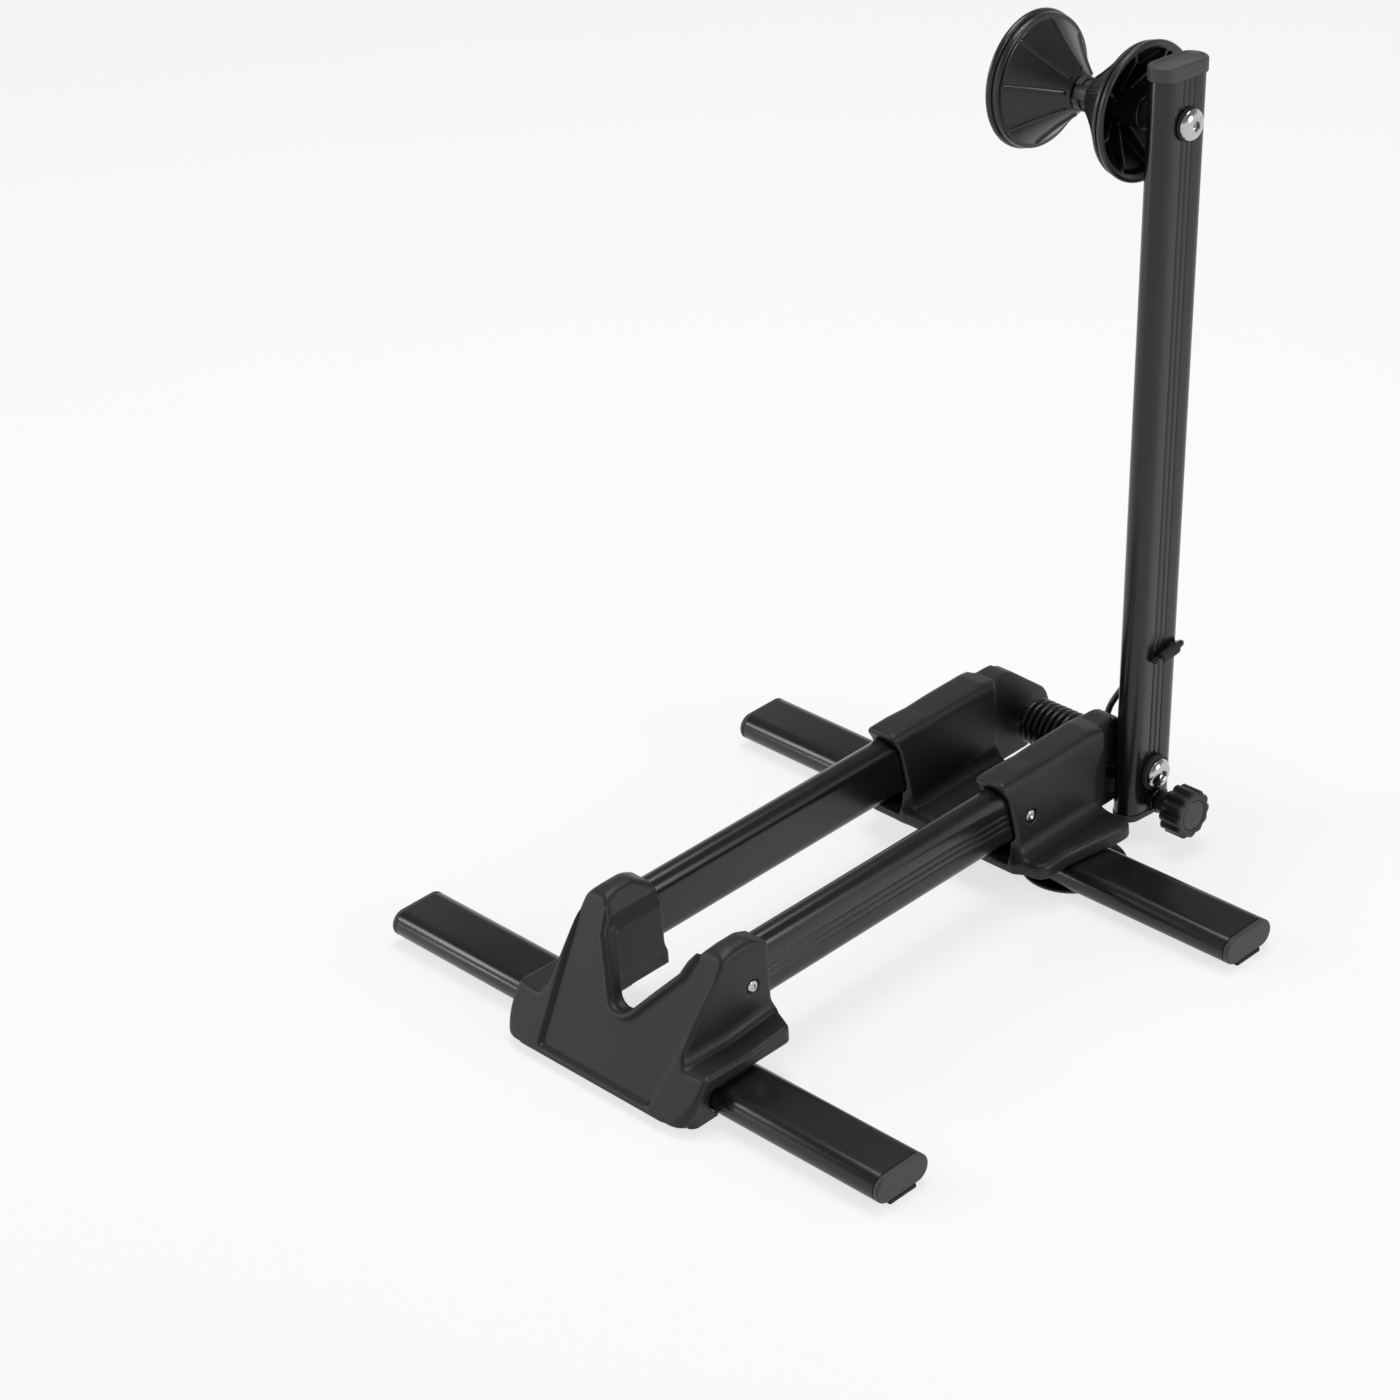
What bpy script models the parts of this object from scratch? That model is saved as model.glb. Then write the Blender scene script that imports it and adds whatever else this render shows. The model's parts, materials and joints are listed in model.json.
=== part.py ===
"""Folding floor stand that holds a bicycle by one wheel.

The tyre drops into a cradle and between two rails, and a sprung frame with a V roller leans against it.
Four feet swing out from under the rails, and the frame folds back behind the stand.

Before the stand is centred, X is across it, Y runs back from the axis of the front feet and Z is up
from the floor. Everything is parented to one empty that moves that frame to the middle of the stand.
"""
import math

import bmesh
import bpy
import numpy as np
from mathutils import Vector

MM = 0.001

# Clearances
SEAT = 0.3 * MM               # between pieces that touch
RUN = 0.3 * MM                # all round a shaft, pin or stud
FOLD = 0.4 * MM               # between a folding foot and what it passes

# Flat-sided tube used for rails, post and feet
TUBE_WIDTH = 36.0 * MM
TUBE_THICK = 15.5 * MM
TUBE_WALL = 2.0 * MM
GROOVE_PITCH = 4.0 * MM
GROOVE_WIDTH = 1.2 * MM
GROOVE_DEPTH = 0.6 * MM
GROOVE_COUNT = 3
ROUND_STEPS = 7

# Feet
PAD_THICK = 2.0 * MM
PAD_WIDTH = 18.0 * MM
PAD_LENGTH = 60.0 * MM
PAD_CORNER = 3.0 * MM
FOOT_REACH = 126.6 * MM
FOOT_PIVOT_X = 50.0 * MM
FOOT_SPAN = 260.7 * MM
FOOT_CAP = 3.0 * MM
CAP_RIM = 1.26 * MM
CAP_PLUG = 12.0 * MM
PIVOT_PIN_R = 5.5 * MM
PIVOT_PIN_RISE = 5.0 * MM
FRONT_PIVOT_HEAD_R = 9.0 * MM
REAR_PIVOT_DISC_R = 29.0 * MM
REAR_PIVOT_DISC_BACK = 9.0 * MM
PIVOT_HEAD_LIFT = 0.3 * MM

# Rails
RAIL_X = 38.9 * MM
RAIL_Z = 50.4 * MM
RAIL_FRONT = 12.0 * MM
RAIL_REAR = FOOT_SPAN + 1.3 * MM

# Front cradle
CRADLE_FRONT = -40.0 * MM
CRADLE_LIP = 5.0 * MM
CRADLE_FOOT = 4.5 * MM
CRADLE_SLOPE = math.radians(36.0)
CRADLE_TOE_R = 1.5 * MM
CRADLE_WALL = 3.0 * MM
CRADLE_FRONT_WALL = 9.0 * MM
CRADLE_REAR = 43.0 * MM
CRADLE_SKIRT_REAR = 35.5 * MM
CRADLE_TOP = 75.5 * MM
CRADLE_SKIRT = 68.0 * MM
CRADLE_NOSE_R = 14.0 * MM
TOWER_OUT = 50.0 * MM
TOWER_IN = 27.8 * MM
SKIRT_TOP = 28.0 * MM
SKIRT_RISE = 1.8 * MM
SKIRT_DISH = 1.0 * MM
ROOM_STEP = 47.5 * MM
TOWER_FLOOR = 29.0 * MM
NOTCH_LOW = 34.2 * MM
NOTCH_R = 12.2 * MM
PANEL_LOW = 8.0 * MM
PANEL_HALF = 39.5 * MM
PANEL_DEPTH = 2.0 * MM

# Foot blocks under the cradle
BLOCK_FRONT = -31.7 * MM
BLOCK_LIFT = 0.4 * MM
BLOCK_IN = 30.0 * MM
BLOCK_OUT = 64.5 * MM
BLOCK_REAR = 20.0 * MM
BLOCK_CORNER = 6.0 * MM

# Rear housing, placed along the stand from the rear feet that it carries
HOUSING_COLLAR = FOOT_SPAN - 45.7 * MM
HOUSING_FRONT = FOOT_SPAN - 37.4 * MM
HOUSING_SIDE_FRONT = FOOT_SPAN - 33.7 * MM
HOUSING_REAR = FOOT_SPAN + 35.3 * MM
HOUSING_TOP = 74.5 * MM
HOUSING_SKIRT = 73.7 * MM
HOUSING_SKIRT_FRONT = 67.5 * MM
HOUSING_LIP_REAR = FOOT_SPAN + 31.8 * MM
HOUSING_SKIRT_BEND = FOOT_SPAN - 15.7 * MM
HOUSING_SKIRT_FULL = FOOT_SPAN + 20.3 * MM
HOUSING_POCKET_REAR = FOOT_SPAN - 14.7 * MM
HOUSING_SKIRT_TOP = 27.5 * MM
BRIDGE_THICK = 4.0 * MM
BRIDGE_REAR = FOOT_SPAN + 27.3 * MM
LUG_IN = 30.0 * MM
LUG_R = 19.0 * MM
LUG_TOP = 72.0 * MM
LUG_RELIEF = 0.1 * MM

# Screws that hold the rails
SCREW_HEAD_R = 3.3 * MM
SCREW_RECESS_R = 4.0 * MM
SCREW_RECESS = 1.8 * MM
SCREW_HEAD = 1.2 * MM
SCREW_SHANK_R = 1.9 * MM
SCREW_LENGTH = 6.0 * MM
CRADLE_SCREW = (29.7 * MM, 47.8 * MM)
HOUSING_SCREW = (FOOT_SPAN - 23.2 * MM, 46.6 * MM)

# Post frame
POST_X = 52.55 * MM
POST_LEAN = math.radians(4.6)
PIVOT_Y = FOOT_SPAN + 62.9 * MM
PIVOT_Z = 37.7 * MM
ROLLER_HEIGHT = 364.5 * MM
POST_BELOW = 22.5 * MM
POST_ABOVE = 23.5 * MM
FOOT_CAP_THICK = 4.2 * MM
FOOT_CAP_PLUG = 3.0 * MM
TOP_CAP_THICK = 7.5 * MM
TOP_CAP_OVER = 1.0 * MM
TOP_CAP_DISH = 1.0 * MM
TOP_CAP_RIM = 1.6 * MM
SHAFT_R = 5.0 * MM
SHAFT_INSET = 0.4 * MM
SPACER_R = 7.3 * MM

# Button-head bolts
BOLT_HEAD_R = 8.4 * MM
BOLT_HEAD = 4.6 * MM
BOLT_SHANK_R = 3.0 * MM
BOLT_SHANK = 12.0 * MM
BOLT_SOCKET = 5.0 * MM
BOLT_SOCKET_DEPTH = 2.4 * MM
PIVOT_WASHER_R = 10.0 * MM
PIVOT_WASHER = 2.6 * MM
ROLLER_WASHER_R = 8.9 * MM
ROLLER_WASHER = 1.2 * MM

# V roller
ROLLER_X = -3.4 * MM
CONE_LIP_X = 38.5 * MM
CONE_LIP_R = 35.5 * MM
CONE_WAIST_X = 4.7 * MM
CONE_WAIST_R = 9.6 * MM
CONE_WALL = 2.2 * MM
CONE_RIM = 5.5 * MM
CONE_HUB_R = 9.2 * MM
CONE_RIBS = 8
CONE_RIB_THICK = 1.6 * MM
CONE_RIB_PROUD = 1.2 * MM
CONE_FIRST_RIB = {"left": math.radians(37.0), "right": math.radians(16.0)}
SLEEVE_R = 9.2 * MM
ROLLER_SPACER_R = 8.0 * MM

# Torsion spring
SPRING_WIRE_R = 1.8 * MM
SPRING_R = 11.7 * MM
SPRING_PITCH = 4.1 * MM
SPRING_FIRST_X = -23.7 * MM
SPRING_TURNS = 12
SPRING_STEPS = 9
SPRING_LEG_HOLE = (-6.2 * MM, 69.5 * MM)
SPRING_BEND = 2.4 * MM
SLEEVE_WALL = 1.1 * MM
SLEEVE_LENGTH = 17.0 * MM

# Lock knob
KNOB_DROP = 16.0 * MM
KNOB_R = 13.85 * MM
KNOB_LOBES = 12
KNOB_FLUTE = 1.5 * MM
KNOB_LENGTH = 13.5 * MM
KNOB_FACE_X = 89.5 * MM
KNOB_NECK_R = 6.0 * MM
KNOB_NECK_BACK_R = 9.5 * MM
KNOB_NECK = 9.2 * MM
KNOB_CAP_R = 8.3 * MM
KNOB_CAP_THICK = 1.3 * MM
COLLAR_FLATS = 14.0 * MM
COLLAR_NECK_FLATS = 10.0 * MM
COLLAR_THICK = 5.2 * MM
STUD_R = 3.0 * MM
STUD_TIP_X = 39.8 * MM
STUD_SOCKET = 10.0 * MM

# Travel of the frame: forward to the housing's step, back until the post lies flat
FOLD_BACK = math.radians(90.0) - POST_LEAN

# Places worked out from the sizes above
FOOT_LOW = PAD_THICK + SEAT
FOOT_Z = FOOT_LOW + TUBE_THICK / 2
FOOT_TOP = FOOT_LOW + TUBE_THICK
UNDERSIDE = FOOT_TOP + FOLD
SKIRT_LOW = UNDERSIDE + SKIRT_RISE
BRIDGE_TOP = UNDERSIDE + BRIDGE_THICK
FOOT_END_R = TUBE_WIDTH / 2
POST_IN = POST_X - TUBE_THICK / 2
POST_OUT = POST_X + TUBE_THICK / 2
LUG_OUT = POST_IN - SEAT
RECESS_R = math.hypot(TUBE_WIDTH / 2, POST_BELOW + SEAT + FOOT_CAP_THICK) + 1.0 * MM
PIVOT_ENDS = {"left": LUG_OUT, "right": POST_OUT}
ROLLER_ENDS = {"left": CONE_LIP_X + SEAT - ROLLER_X, "right": POST_OUT}
ROLLER_Y = PIVOT_Y + ROLLER_HEIGHT * math.sin(POST_LEAN)
REAR_EDGE = ROLLER_Y + CONE_LIP_R
TOE_Y = CRADLE_FRONT - (CRADLE_LIP - CRADLE_FOOT) * math.tan(CRADLE_SLOPE)
FRONT_EDGE = TOE_Y + CRADLE_TOE_R * (1 / math.tan(math.radians(45.0) - CRADLE_SLOPE / 2) - 1)
CENTRE_Y = (FRONT_EDGE + REAR_EDGE) / 2
SIDES = {"left": -1, "right": 1}

scene = bpy.context.scene
for old in list(bpy.data.objects):
    bpy.data.objects.remove(old, do_unlink=True)


# Materials
def material(name, colour, roughness, metallic):
    """A Principled material with one colour."""
    made = bpy.data.materials.new(name)
    made.use_nodes = True
    shader = made.node_tree.nodes["Principled BSDF"]
    shader.inputs["Base Color"].default_value = (*colour, 1.0)
    shader.inputs["Roughness"].default_value = roughness
    shader.inputs["Metallic"].default_value = metallic
    return made


ANODISED = material("black_anodised_tube", (0.012, 0.012, 0.013), 0.32, 0.6)
MOULDED = material("matte_black_moulding", (0.020, 0.020, 0.021), 0.58, 0.0)
GLOSSY = material("glossy_black_moulding", (0.010, 0.010, 0.010), 0.22, 0.0)
CAP = material("dark_grey_cap", (0.035, 0.035, 0.037), 0.5, 0.0)
RUBBER = material("black_rubber", (0.018, 0.018, 0.018), 0.8, 0.0)
STAINLESS = material("stainless_steel", (0.62, 0.62, 0.63), 0.18, 1.0)
STEEL = material("zinc_steel", (0.42, 0.42, 0.43), 0.35, 1.0)
BLACK_STEEL = material("black_steel", (0.015, 0.015, 0.016), 0.28, 0.5)


# Outlines and solids
def arc(centre, radius, start, end, steps):
    """Points on a circle about centre, from one angle to the other, in degrees."""
    turns = np.radians(np.linspace(start, end, steps + 1))
    return [(centre[0] + radius * math.cos(t), centre[1] + radius * math.sin(t)) for t in turns]


def obround(width, thick, grooves=0):
    """Outline of the flat-sided tube, its width along the first axis, with any grooves on the + face."""
    r = thick / 2
    half = width / 2 - r
    points = arc((half, 0), r, -90, 90, ROUND_STEPS)
    for k in range(grooves):
        middle = ((grooves - 1) / 2 - k) * GROOVE_PITCH
        points.append((middle + GROOVE_WIDTH / 2, r))
        points.append((middle, r - GROOVE_DEPTH))
        points.append((middle - GROOVE_WIDTH / 2, r))
    return points + arc((-half, 0), r, 90, 270, ROUND_STEPS)


def rounded(corners, steps=4):
    """Closed outline through (a, b, radius) corners, each worked into an arc of its radius."""
    points = []
    for k, (a, b, radius) in enumerate(corners):
        here = Vector((a, b))
        if radius == 0:
            points.append((a, b))
            continue
        before = (Vector(corners[k - 1][:2]) - here).normalized()
        after = (Vector(corners[(k + 1) % len(corners)][:2]) - here).normalized()
        half = before.angle(after) / 2
        middle = here + (before + after).normalized() * (radius / math.sin(half))
        start = here + before * (radius / math.tan(half)) - middle
        sweep = start.angle_signed(here + after * (radius / math.tan(half)) - middle)
        for i in range(steps + 1):
            t = -sweep * i / steps
            x = start.x * math.cos(t) - start.y * math.sin(t)
            y = start.x * math.sin(t) + start.y * math.cos(t)
            points.append((middle.x + x, middle.y + y))
    return points


def mirrored(half):
    """Whole outline from its right half, which runs from the bottom middle to the top middle."""
    return half + [(-a, b) for a, b in reversed(half) if a > 1e-9]


PLACE = {
    "X": lambda a, b, h: (h, a, b),
    "Y": lambda a, b, h: (a, h, b),
    "Z": lambda a, b, h: (a, b, h),
}


def loft(rings, axis):
    """Solid through (height, outline) rings with equal numbers of points, closed at both ends."""
    bm = bmesh.new()
    place = PLACE[axis]
    loops = [[bm.verts.new(place(a, b, height)) for a, b in outline] for height, outline in rings]
    for low, high in zip(loops, loops[1:]):
        for i in range(len(low)):
            j = (i + 1) % len(low)
            bm.faces.new((low[i], low[j], high[j], high[i]))
    bm.faces.new(loops[0])
    bm.faces.new(loops[-1])
    return bm


def prism(outline, low, high, axis):
    """Outline pushed along an axis from low to high."""
    return loft([(low, outline), (high, outline)], axis)


def cylinder(radius, low, high, axis, steps=18, centre=(0.0, 0.0)):
    """Round bar along an axis."""
    return prism(arc(centre, radius, 0, 360 - 360 / steps, steps - 1), low, high, axis)


def turned(profile, axis, steps=24):
    """Profile of (along, radius) points spun round an axis. It closes on the axis or on itself."""
    bm = bmesh.new()
    place = PLACE[axis]
    verts = [bm.verts.new(place(radius, 0, along)) for along, radius in profile]
    edges = [bm.edges.new(pair) for pair in zip(verts, verts[1:])]
    if profile[0][1] > 0:
        edges.append(bm.edges.new((verts[-1], verts[0])))
    bmesh.ops.spin(bm, geom=verts + edges, cent=(0, 0, 0), axis=place(0, 0, 1), angle=2 * math.pi,
                   steps=steps, use_merge=True)
    bmesh.ops.remove_doubles(bm, verts=bm.verts[:], dist=1e-7)
    return bm


def ring(inner, outer, low, high, axis, steps=18):
    """Washer, bush or sleeve along an axis."""
    return turned([(low, inner), (low, outer), (high, outer), (high, inner)], axis, steps)


def solid(name, bm, finish, parent, at=(0.0, 0.0, 0.0), sharp=35.0):
    """Makes one object of the bmesh, with its faces out and its round parts shaded smooth."""
    bmesh.ops.recalc_face_normals(bm, faces=bm.faces[:])
    mesh = bpy.data.meshes.new(name)
    bm.to_mesh(mesh)
    bm.free()
    mesh.materials.append(finish)
    mesh.shade_smooth()
    mesh.set_sharp_from_angle(angle=math.radians(sharp))
    made = bpy.data.objects.new(name, mesh)
    made.location = at
    made.parent = parent
    scene.collection.objects.link(made)
    return made


def join_by(target, tool, operation):
    """Adds a Boolean of the target with a hidden tool object."""
    tool.hide_render = True
    tool.display_type = "WIRE"
    step = target.modifiers.new(tool.name, "BOOLEAN")
    step.operation = operation
    step.solver = "EXACT"
    step.object = tool


def shape(target, bm, operation="DIFFERENCE"):
    """Cuts the bmesh, given in the target's own axes, out of the target, or joins or intersects it."""
    count = len(target.modifiers)
    tool = solid(f"{target.name}_tool_{count}", bm, target.data.materials[0], target)
    join_by(target, tool, operation)
    return tool


def three_views(name, front, plan, side, finish, parent):
    """Solid whose outline from the front is (x, z), from above (x, y) and from the side (y, z)."""
    far = 1.0
    made = solid(name, prism(front, -far, far, "Y"), finish, parent)
    shape(made, prism(plan, -far, far, "Z"), "INTERSECT")
    shape(made, prism(side, -far, far, "X"), "INTERSECT")
    return made


def empty(name, parent=None, at=(0.0, 0.0, 0.0), lean=0.0):
    """Frame of reference on a joint's axis."""
    made = bpy.data.objects.new(name, None)
    made.empty_display_size = 0.02
    made.location = at
    made.rotation_euler = (lean, 0.0, 0.0)
    made.parent = parent
    scene.collection.objects.link(made)
    return made


STAND = empty("stand", at=(0.0, -CENTRE_Y, 0.0))


# Feet: a tube that swings under the rail, with its cap, pad and pivot
def foot(where, side, y):
    """One foot, built along +X or -X from its pivot."""
    name = f"{where[0]}_{where[1]}"
    pivot = empty(f"foot_{name}_pivot", STAND, (side * FOOT_PIVOT_X, y, 0.0))
    tube_end = FOOT_REACH - FOOT_CAP - SEAT
    tube = [(a, FOOT_Z + b) for a, b in obround(TUBE_WIDTH, TUBE_THICK)]
    hollow = [(a, FOOT_Z + b) for a, b in obround(TUBE_WIDTH - 2 * TUBE_WALL, TUBE_THICK - 2 * TUBE_WALL)]
    arm = solid(f"foot_{name}", prism(tube, -side * FOOT_END_R * 1.2, side * tube_end, "X"), ANODISED, pivot)
    round_end = arc((0.0, 0.0), FOOT_END_R, 90, 270, 2 * ROUND_STEPS)
    plan = round_end + [(FOOT_REACH, -FOOT_END_R - MM), (FOOT_REACH, FOOT_END_R + MM)]
    plan = [(side * a, b) for a, b in plan]
    shape(arm, prism(plan, -MM, FOOT_TOP + MM, "Z"), "INTERSECT")
    shape(arm, prism(hollow, -side * FOOT_REACH, side * FOOT_REACH, "X"))
    shape(arm, cylinder(PIVOT_PIN_R + RUN, -MM, FOOT_TOP + MM, "Z"))

    def section(inset):
        outline = obround(TUBE_WIDTH - 2 * inset, TUBE_THICK - 2 * inset)
        return [(a, FOOT_Z + b) for a, b in outline]

    inner = TUBE_WALL + SEAT
    root = FOOT_REACH - FOOT_CAP
    rings = [(root - CAP_PLUG, inner), (root, inner), (root, 0.0)]
    for t in np.radians((0, 30, 60, 90)):
        rings.append((FOOT_REACH - CAP_RIM + CAP_RIM * math.sin(t), CAP_RIM * (1 - math.cos(t))))
    cap = loft([(side * along, section(inset)) for along, inset in rings], "X")
    solid(f"foot_cap_{name}", cap, CAP, pivot)

    far = FOOT_REACH - 1.5 * MM
    near = far - PAD_LENGTH
    pad = rounded([(near, -PAD_WIDTH / 2, PAD_CORNER), (far, -PAD_WIDTH / 2, PAD_CORNER),
                   (far, PAD_WIDTH / 2, PAD_CORNER), (near, PAD_WIDTH / 2, PAD_CORNER)])
    solid(f"foot_pad_{name}", prism([(side * a, b) for a, b in pad], 0.0, PAD_THICK, "Z"), RUBBER, pivot)

    rear = where[0] == "rear"
    head = REAR_PIVOT_DISC_R if rear else FRONT_PIVOT_HEAD_R
    back = REAR_PIVOT_DISC_BACK if rear else 0.0
    edge = 0.6 * MM
    disc = turned([(PIVOT_HEAD_LIFT, 0.0), (PIVOT_HEAD_LIFT, head - edge), (PIVOT_HEAD_LIFT + edge, head),
                   (PAD_THICK - edge / 2, head), (PAD_THICK, head - edge / 2), (PAD_THICK, 0.0)], "Z")
    bmesh.ops.translate(disc, verts=disc.verts[:], vec=(0.0, back, 0.0))
    made = solid(f"foot_pivot_{name}", disc, GLOSSY, STAND, (side * FOOT_PIVOT_X, y, 0.0))
    pin = cylinder(PIVOT_PIN_R, PIVOT_HEAD_LIFT + edge, UNDERSIDE + PIVOT_PIN_RISE, "Z")
    shape(made, pin, "UNION")


for word, sign in SIDES.items():
    foot(("front", word), sign, 0.0)
    foot(("rear", word), sign, FOOT_SPAN)


# Rails, with their grooves outwards and a hole for the screw at each end
def rail(word, side):
    """One rail along Y."""
    x = side * RAIL_X
    tube = [(side * b, a) for a, b in obround(TUBE_WIDTH, TUBE_THICK, GROOVE_COUNT)]
    hollow = [(b, a) for a, b in obround(TUBE_WIDTH - 2 * TUBE_WALL, TUBE_THICK - 2 * TUBE_WALL)]
    made = solid(f"rail_{word}", prism(tube, RAIL_FRONT, RAIL_REAR, "Y"), ANODISED, STAND, (x, 0.0, RAIL_Z))
    shape(made, prism(hollow, RAIL_FRONT - MM, RAIL_REAR + MM, "Y"))
    for y, z in (CRADLE_SCREW, HOUSING_SCREW):
        low, high = sorted((side * (TUBE_THICK / 2 - TUBE_WALL - MM), side * (TUBE_THICK / 2 + MM)))
        shape(made, cylinder(SCREW_SHANK_R + RUN, low, high, "X", 12, (y, z - RAIL_Z)))


for word, sign in SIDES.items():
    rail(word, sign)


def rail_sockets(made, low, high):
    """Cuts both rails' sockets, with clearance, out of a moulding."""
    for side in SIDES.values():
        outline = obround(TUBE_WIDTH + 2 * SEAT, TUBE_THICK + 2 * SEAT)
        socket = [(side * RAIL_X + b, RAIL_Z + a) for a, b in outline]
        shape(made, prism(socket, low, high, "Y"))


def screw_holes(made, place):
    """Cuts the recess and hole of the screw on each side of a moulding."""
    for side in SIDES.values():
        recess = sorted((side * (TOWER_OUT - SCREW_RECESS), side * (TOWER_OUT + MM)))
        shape(made, cylinder(SCREW_RECESS_R, *recess, "X", 20, place))
        through = sorted((side * (RAIL_X + TUBE_THICK / 2), side * (TOWER_OUT - SCREW_RECESS / 2)))
        shape(made, cylinder(SCREW_SHANK_R + RUN, *through, "X", 12, place))


# Foot pivot sockets in what the feet swing under
def pivot_socket(made, x, y):
    """Cuts the blind hole that a foot's pivot pin stands in."""
    depth = UNDERSIDE + PIVOT_PIN_RISE + SEAT
    shape(made, cylinder(PIVOT_PIN_R + RUN, UNDERSIDE - 2 * MM, depth, "Z", 18, (x, y)))


# Front cradle: two towers on a flared skirt, a sloping front wall with a notch, open behind and below
def slope_y(z, setback=0.0):
    """Where the sloping front face stands at height z, set back square to itself."""
    return CRADLE_FRONT + (z - CRADLE_LIP) * math.tan(CRADLE_SLOPE) + setback / math.cos(CRADLE_SLOPE)


def flare(skirt, low, top, lip, dish, sweep):
    """Outline, bottom to top, of the skirt's edge, its lip and the hollow sweep up to the tower's side."""
    edge = arc((skirt - lip, top - lip), lip, 0, 90, 3)
    hollow = arc((TOWER_OUT + sweep, top - dish + sweep), sweep, -90, -180, 5)
    return [(skirt, low)] + edge + hollow


def cradle():
    """The moulding that takes the tyre."""
    tower = rounded([(TOWER_OUT, 60.0 * MM, 0), (TOWER_OUT, CRADLE_TOP, 8.0 * MM),
                     (37.0 * MM, CRADLE_TOP, 5.0 * MM), (30.5 * MM, 66.0 * MM, 3.0 * MM),
                     (28.5 * MM, 60.0 * MM, 4.0 * MM), (18.4 * MM, 48.9 * MM, 0)])
    bowl = arc((0.0, NOTCH_LOW + NOTCH_R), NOTCH_R, -37, -90, 5)
    outside = flare(CRADLE_SKIRT, CRADLE_FOOT, SKIRT_TOP, 1.5 * MM, SKIRT_DISH, 5.5 * MM)
    half = [(0.0, CRADLE_FOOT)] + outside + tower + bowl
    nose = CRADLE_NOSE_R
    right = [(CRADLE_SKIRT, CRADLE_FRONT, nose), (CRADLE_SKIRT, CRADLE_SKIRT_REAR, 5.0 * MM),
             (TOWER_OUT + 1.5 * MM, CRADLE_REAR, 4.0 * MM)]
    plan = rounded([(-a, b, r) for a, b, r in reversed(right)] + right, 5)
    foot_back = slope_y(SKIRT_LOW, CRADLE_WALL) + MM
    side = rounded([(slope_y(CRADLE_FOOT), CRADLE_FOOT, CRADLE_TOE_R),
                    (slope_y(CRADLE_FOOT, CRADLE_WALL) + MM, CRADLE_FOOT, 1.0 * MM),
                    (foot_back, SKIRT_LOW, 4.0 * MM),
                    (CRADLE_REAR, SKIRT_LOW, 0), (CRADLE_REAR, 68.0 * MM, 4.0 * MM),
                    (31.0 * MM, CRADLE_TOP, 10.0 * MM), (20.0 * MM, CRADLE_TOP, 6.0 * MM),
                    (slope_y(70.0 * MM), 70.0 * MM, 8.0 * MM)])
    made = three_views("front_cradle", mirrored(half), plan, side, MOULDED, STAND)

    wall = CRADLE_WALL
    bay_low = CRADLE_FOOT - MM
    bay_high = CRADLE_TOP + MM
    bay = [(slope_y(bay_low, CRADLE_FRONT_WALL), bay_low), (CRADLE_REAR + MM, bay_low),
           (CRADLE_REAR + MM, bay_high), (slope_y(bay_high, CRADLE_FRONT_WALL), bay_high)]
    shape(made, prism(bay, -TOWER_IN, TOWER_IN, "X"))

    inner = CRADLE_SKIRT - wall
    ledge = SKIRT_TOP - SKIRT_DISH - wall
    room = [(0.0, -MM), (inner, -MM), (inner, ledge), (ROOM_STEP, ledge), (ROOM_STEP - 3.0 * MM, TOWER_FLOOR),
            (0.0, TOWER_FLOOR)]
    right = [(inner, CRADLE_FRONT + wall, nose - wall), (inner, CRADLE_SKIRT_REAR - wall / 2, wall),
             (TOWER_OUT, CRADLE_REAR - wall, wall)]
    under = three_views("front_cradle_room", mirrored(room),
                        rounded([(-a, b, r) for a, b, r in reversed(right)] + right, 5),
                        [(slope_y(CRADLE_LIP, wall), -MM), (CRADLE_REAR, -MM), (CRADLE_REAR, TOWER_FLOOR),
                         (slope_y(TOWER_FLOOR, wall), TOWER_FLOOR), (slope_y(CRADLE_LIP, wall), CRADLE_LIP)],
                        MOULDED, made)
    join_by(made, under, "DIFFERENCE")

    rail_sockets(made, RAIL_FRONT - SEAT, CRADLE_REAR + MM)
    screw_holes(made, CRADLE_SCREW)

    high = CRADLE_TOP
    panel_side = [(slope_y(PANEL_LOW) - MM, PANEL_LOW), (slope_y(PANEL_LOW, PANEL_DEPTH), PANEL_LOW),
                  (slope_y(high, PANEL_DEPTH), high), (slope_y(high) - MM, high)]
    panel_front = [(-PANEL_HALF, PANEL_LOW - MM), (PANEL_HALF, PANEL_LOW - MM),
                   (PANEL_HALF + 11.0 * MM, high + MM), (-PANEL_HALF - 11.0 * MM, high + MM)]
    panel = solid("front_cradle_panel", prism(panel_side, -0.1, 0.1, "X"), MOULDED, made)
    shape(panel, prism(panel_front, -0.1, 0.1, "Y"), "INTERSECT")
    join_by(made, panel, "DIFFERENCE")


cradle()


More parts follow.
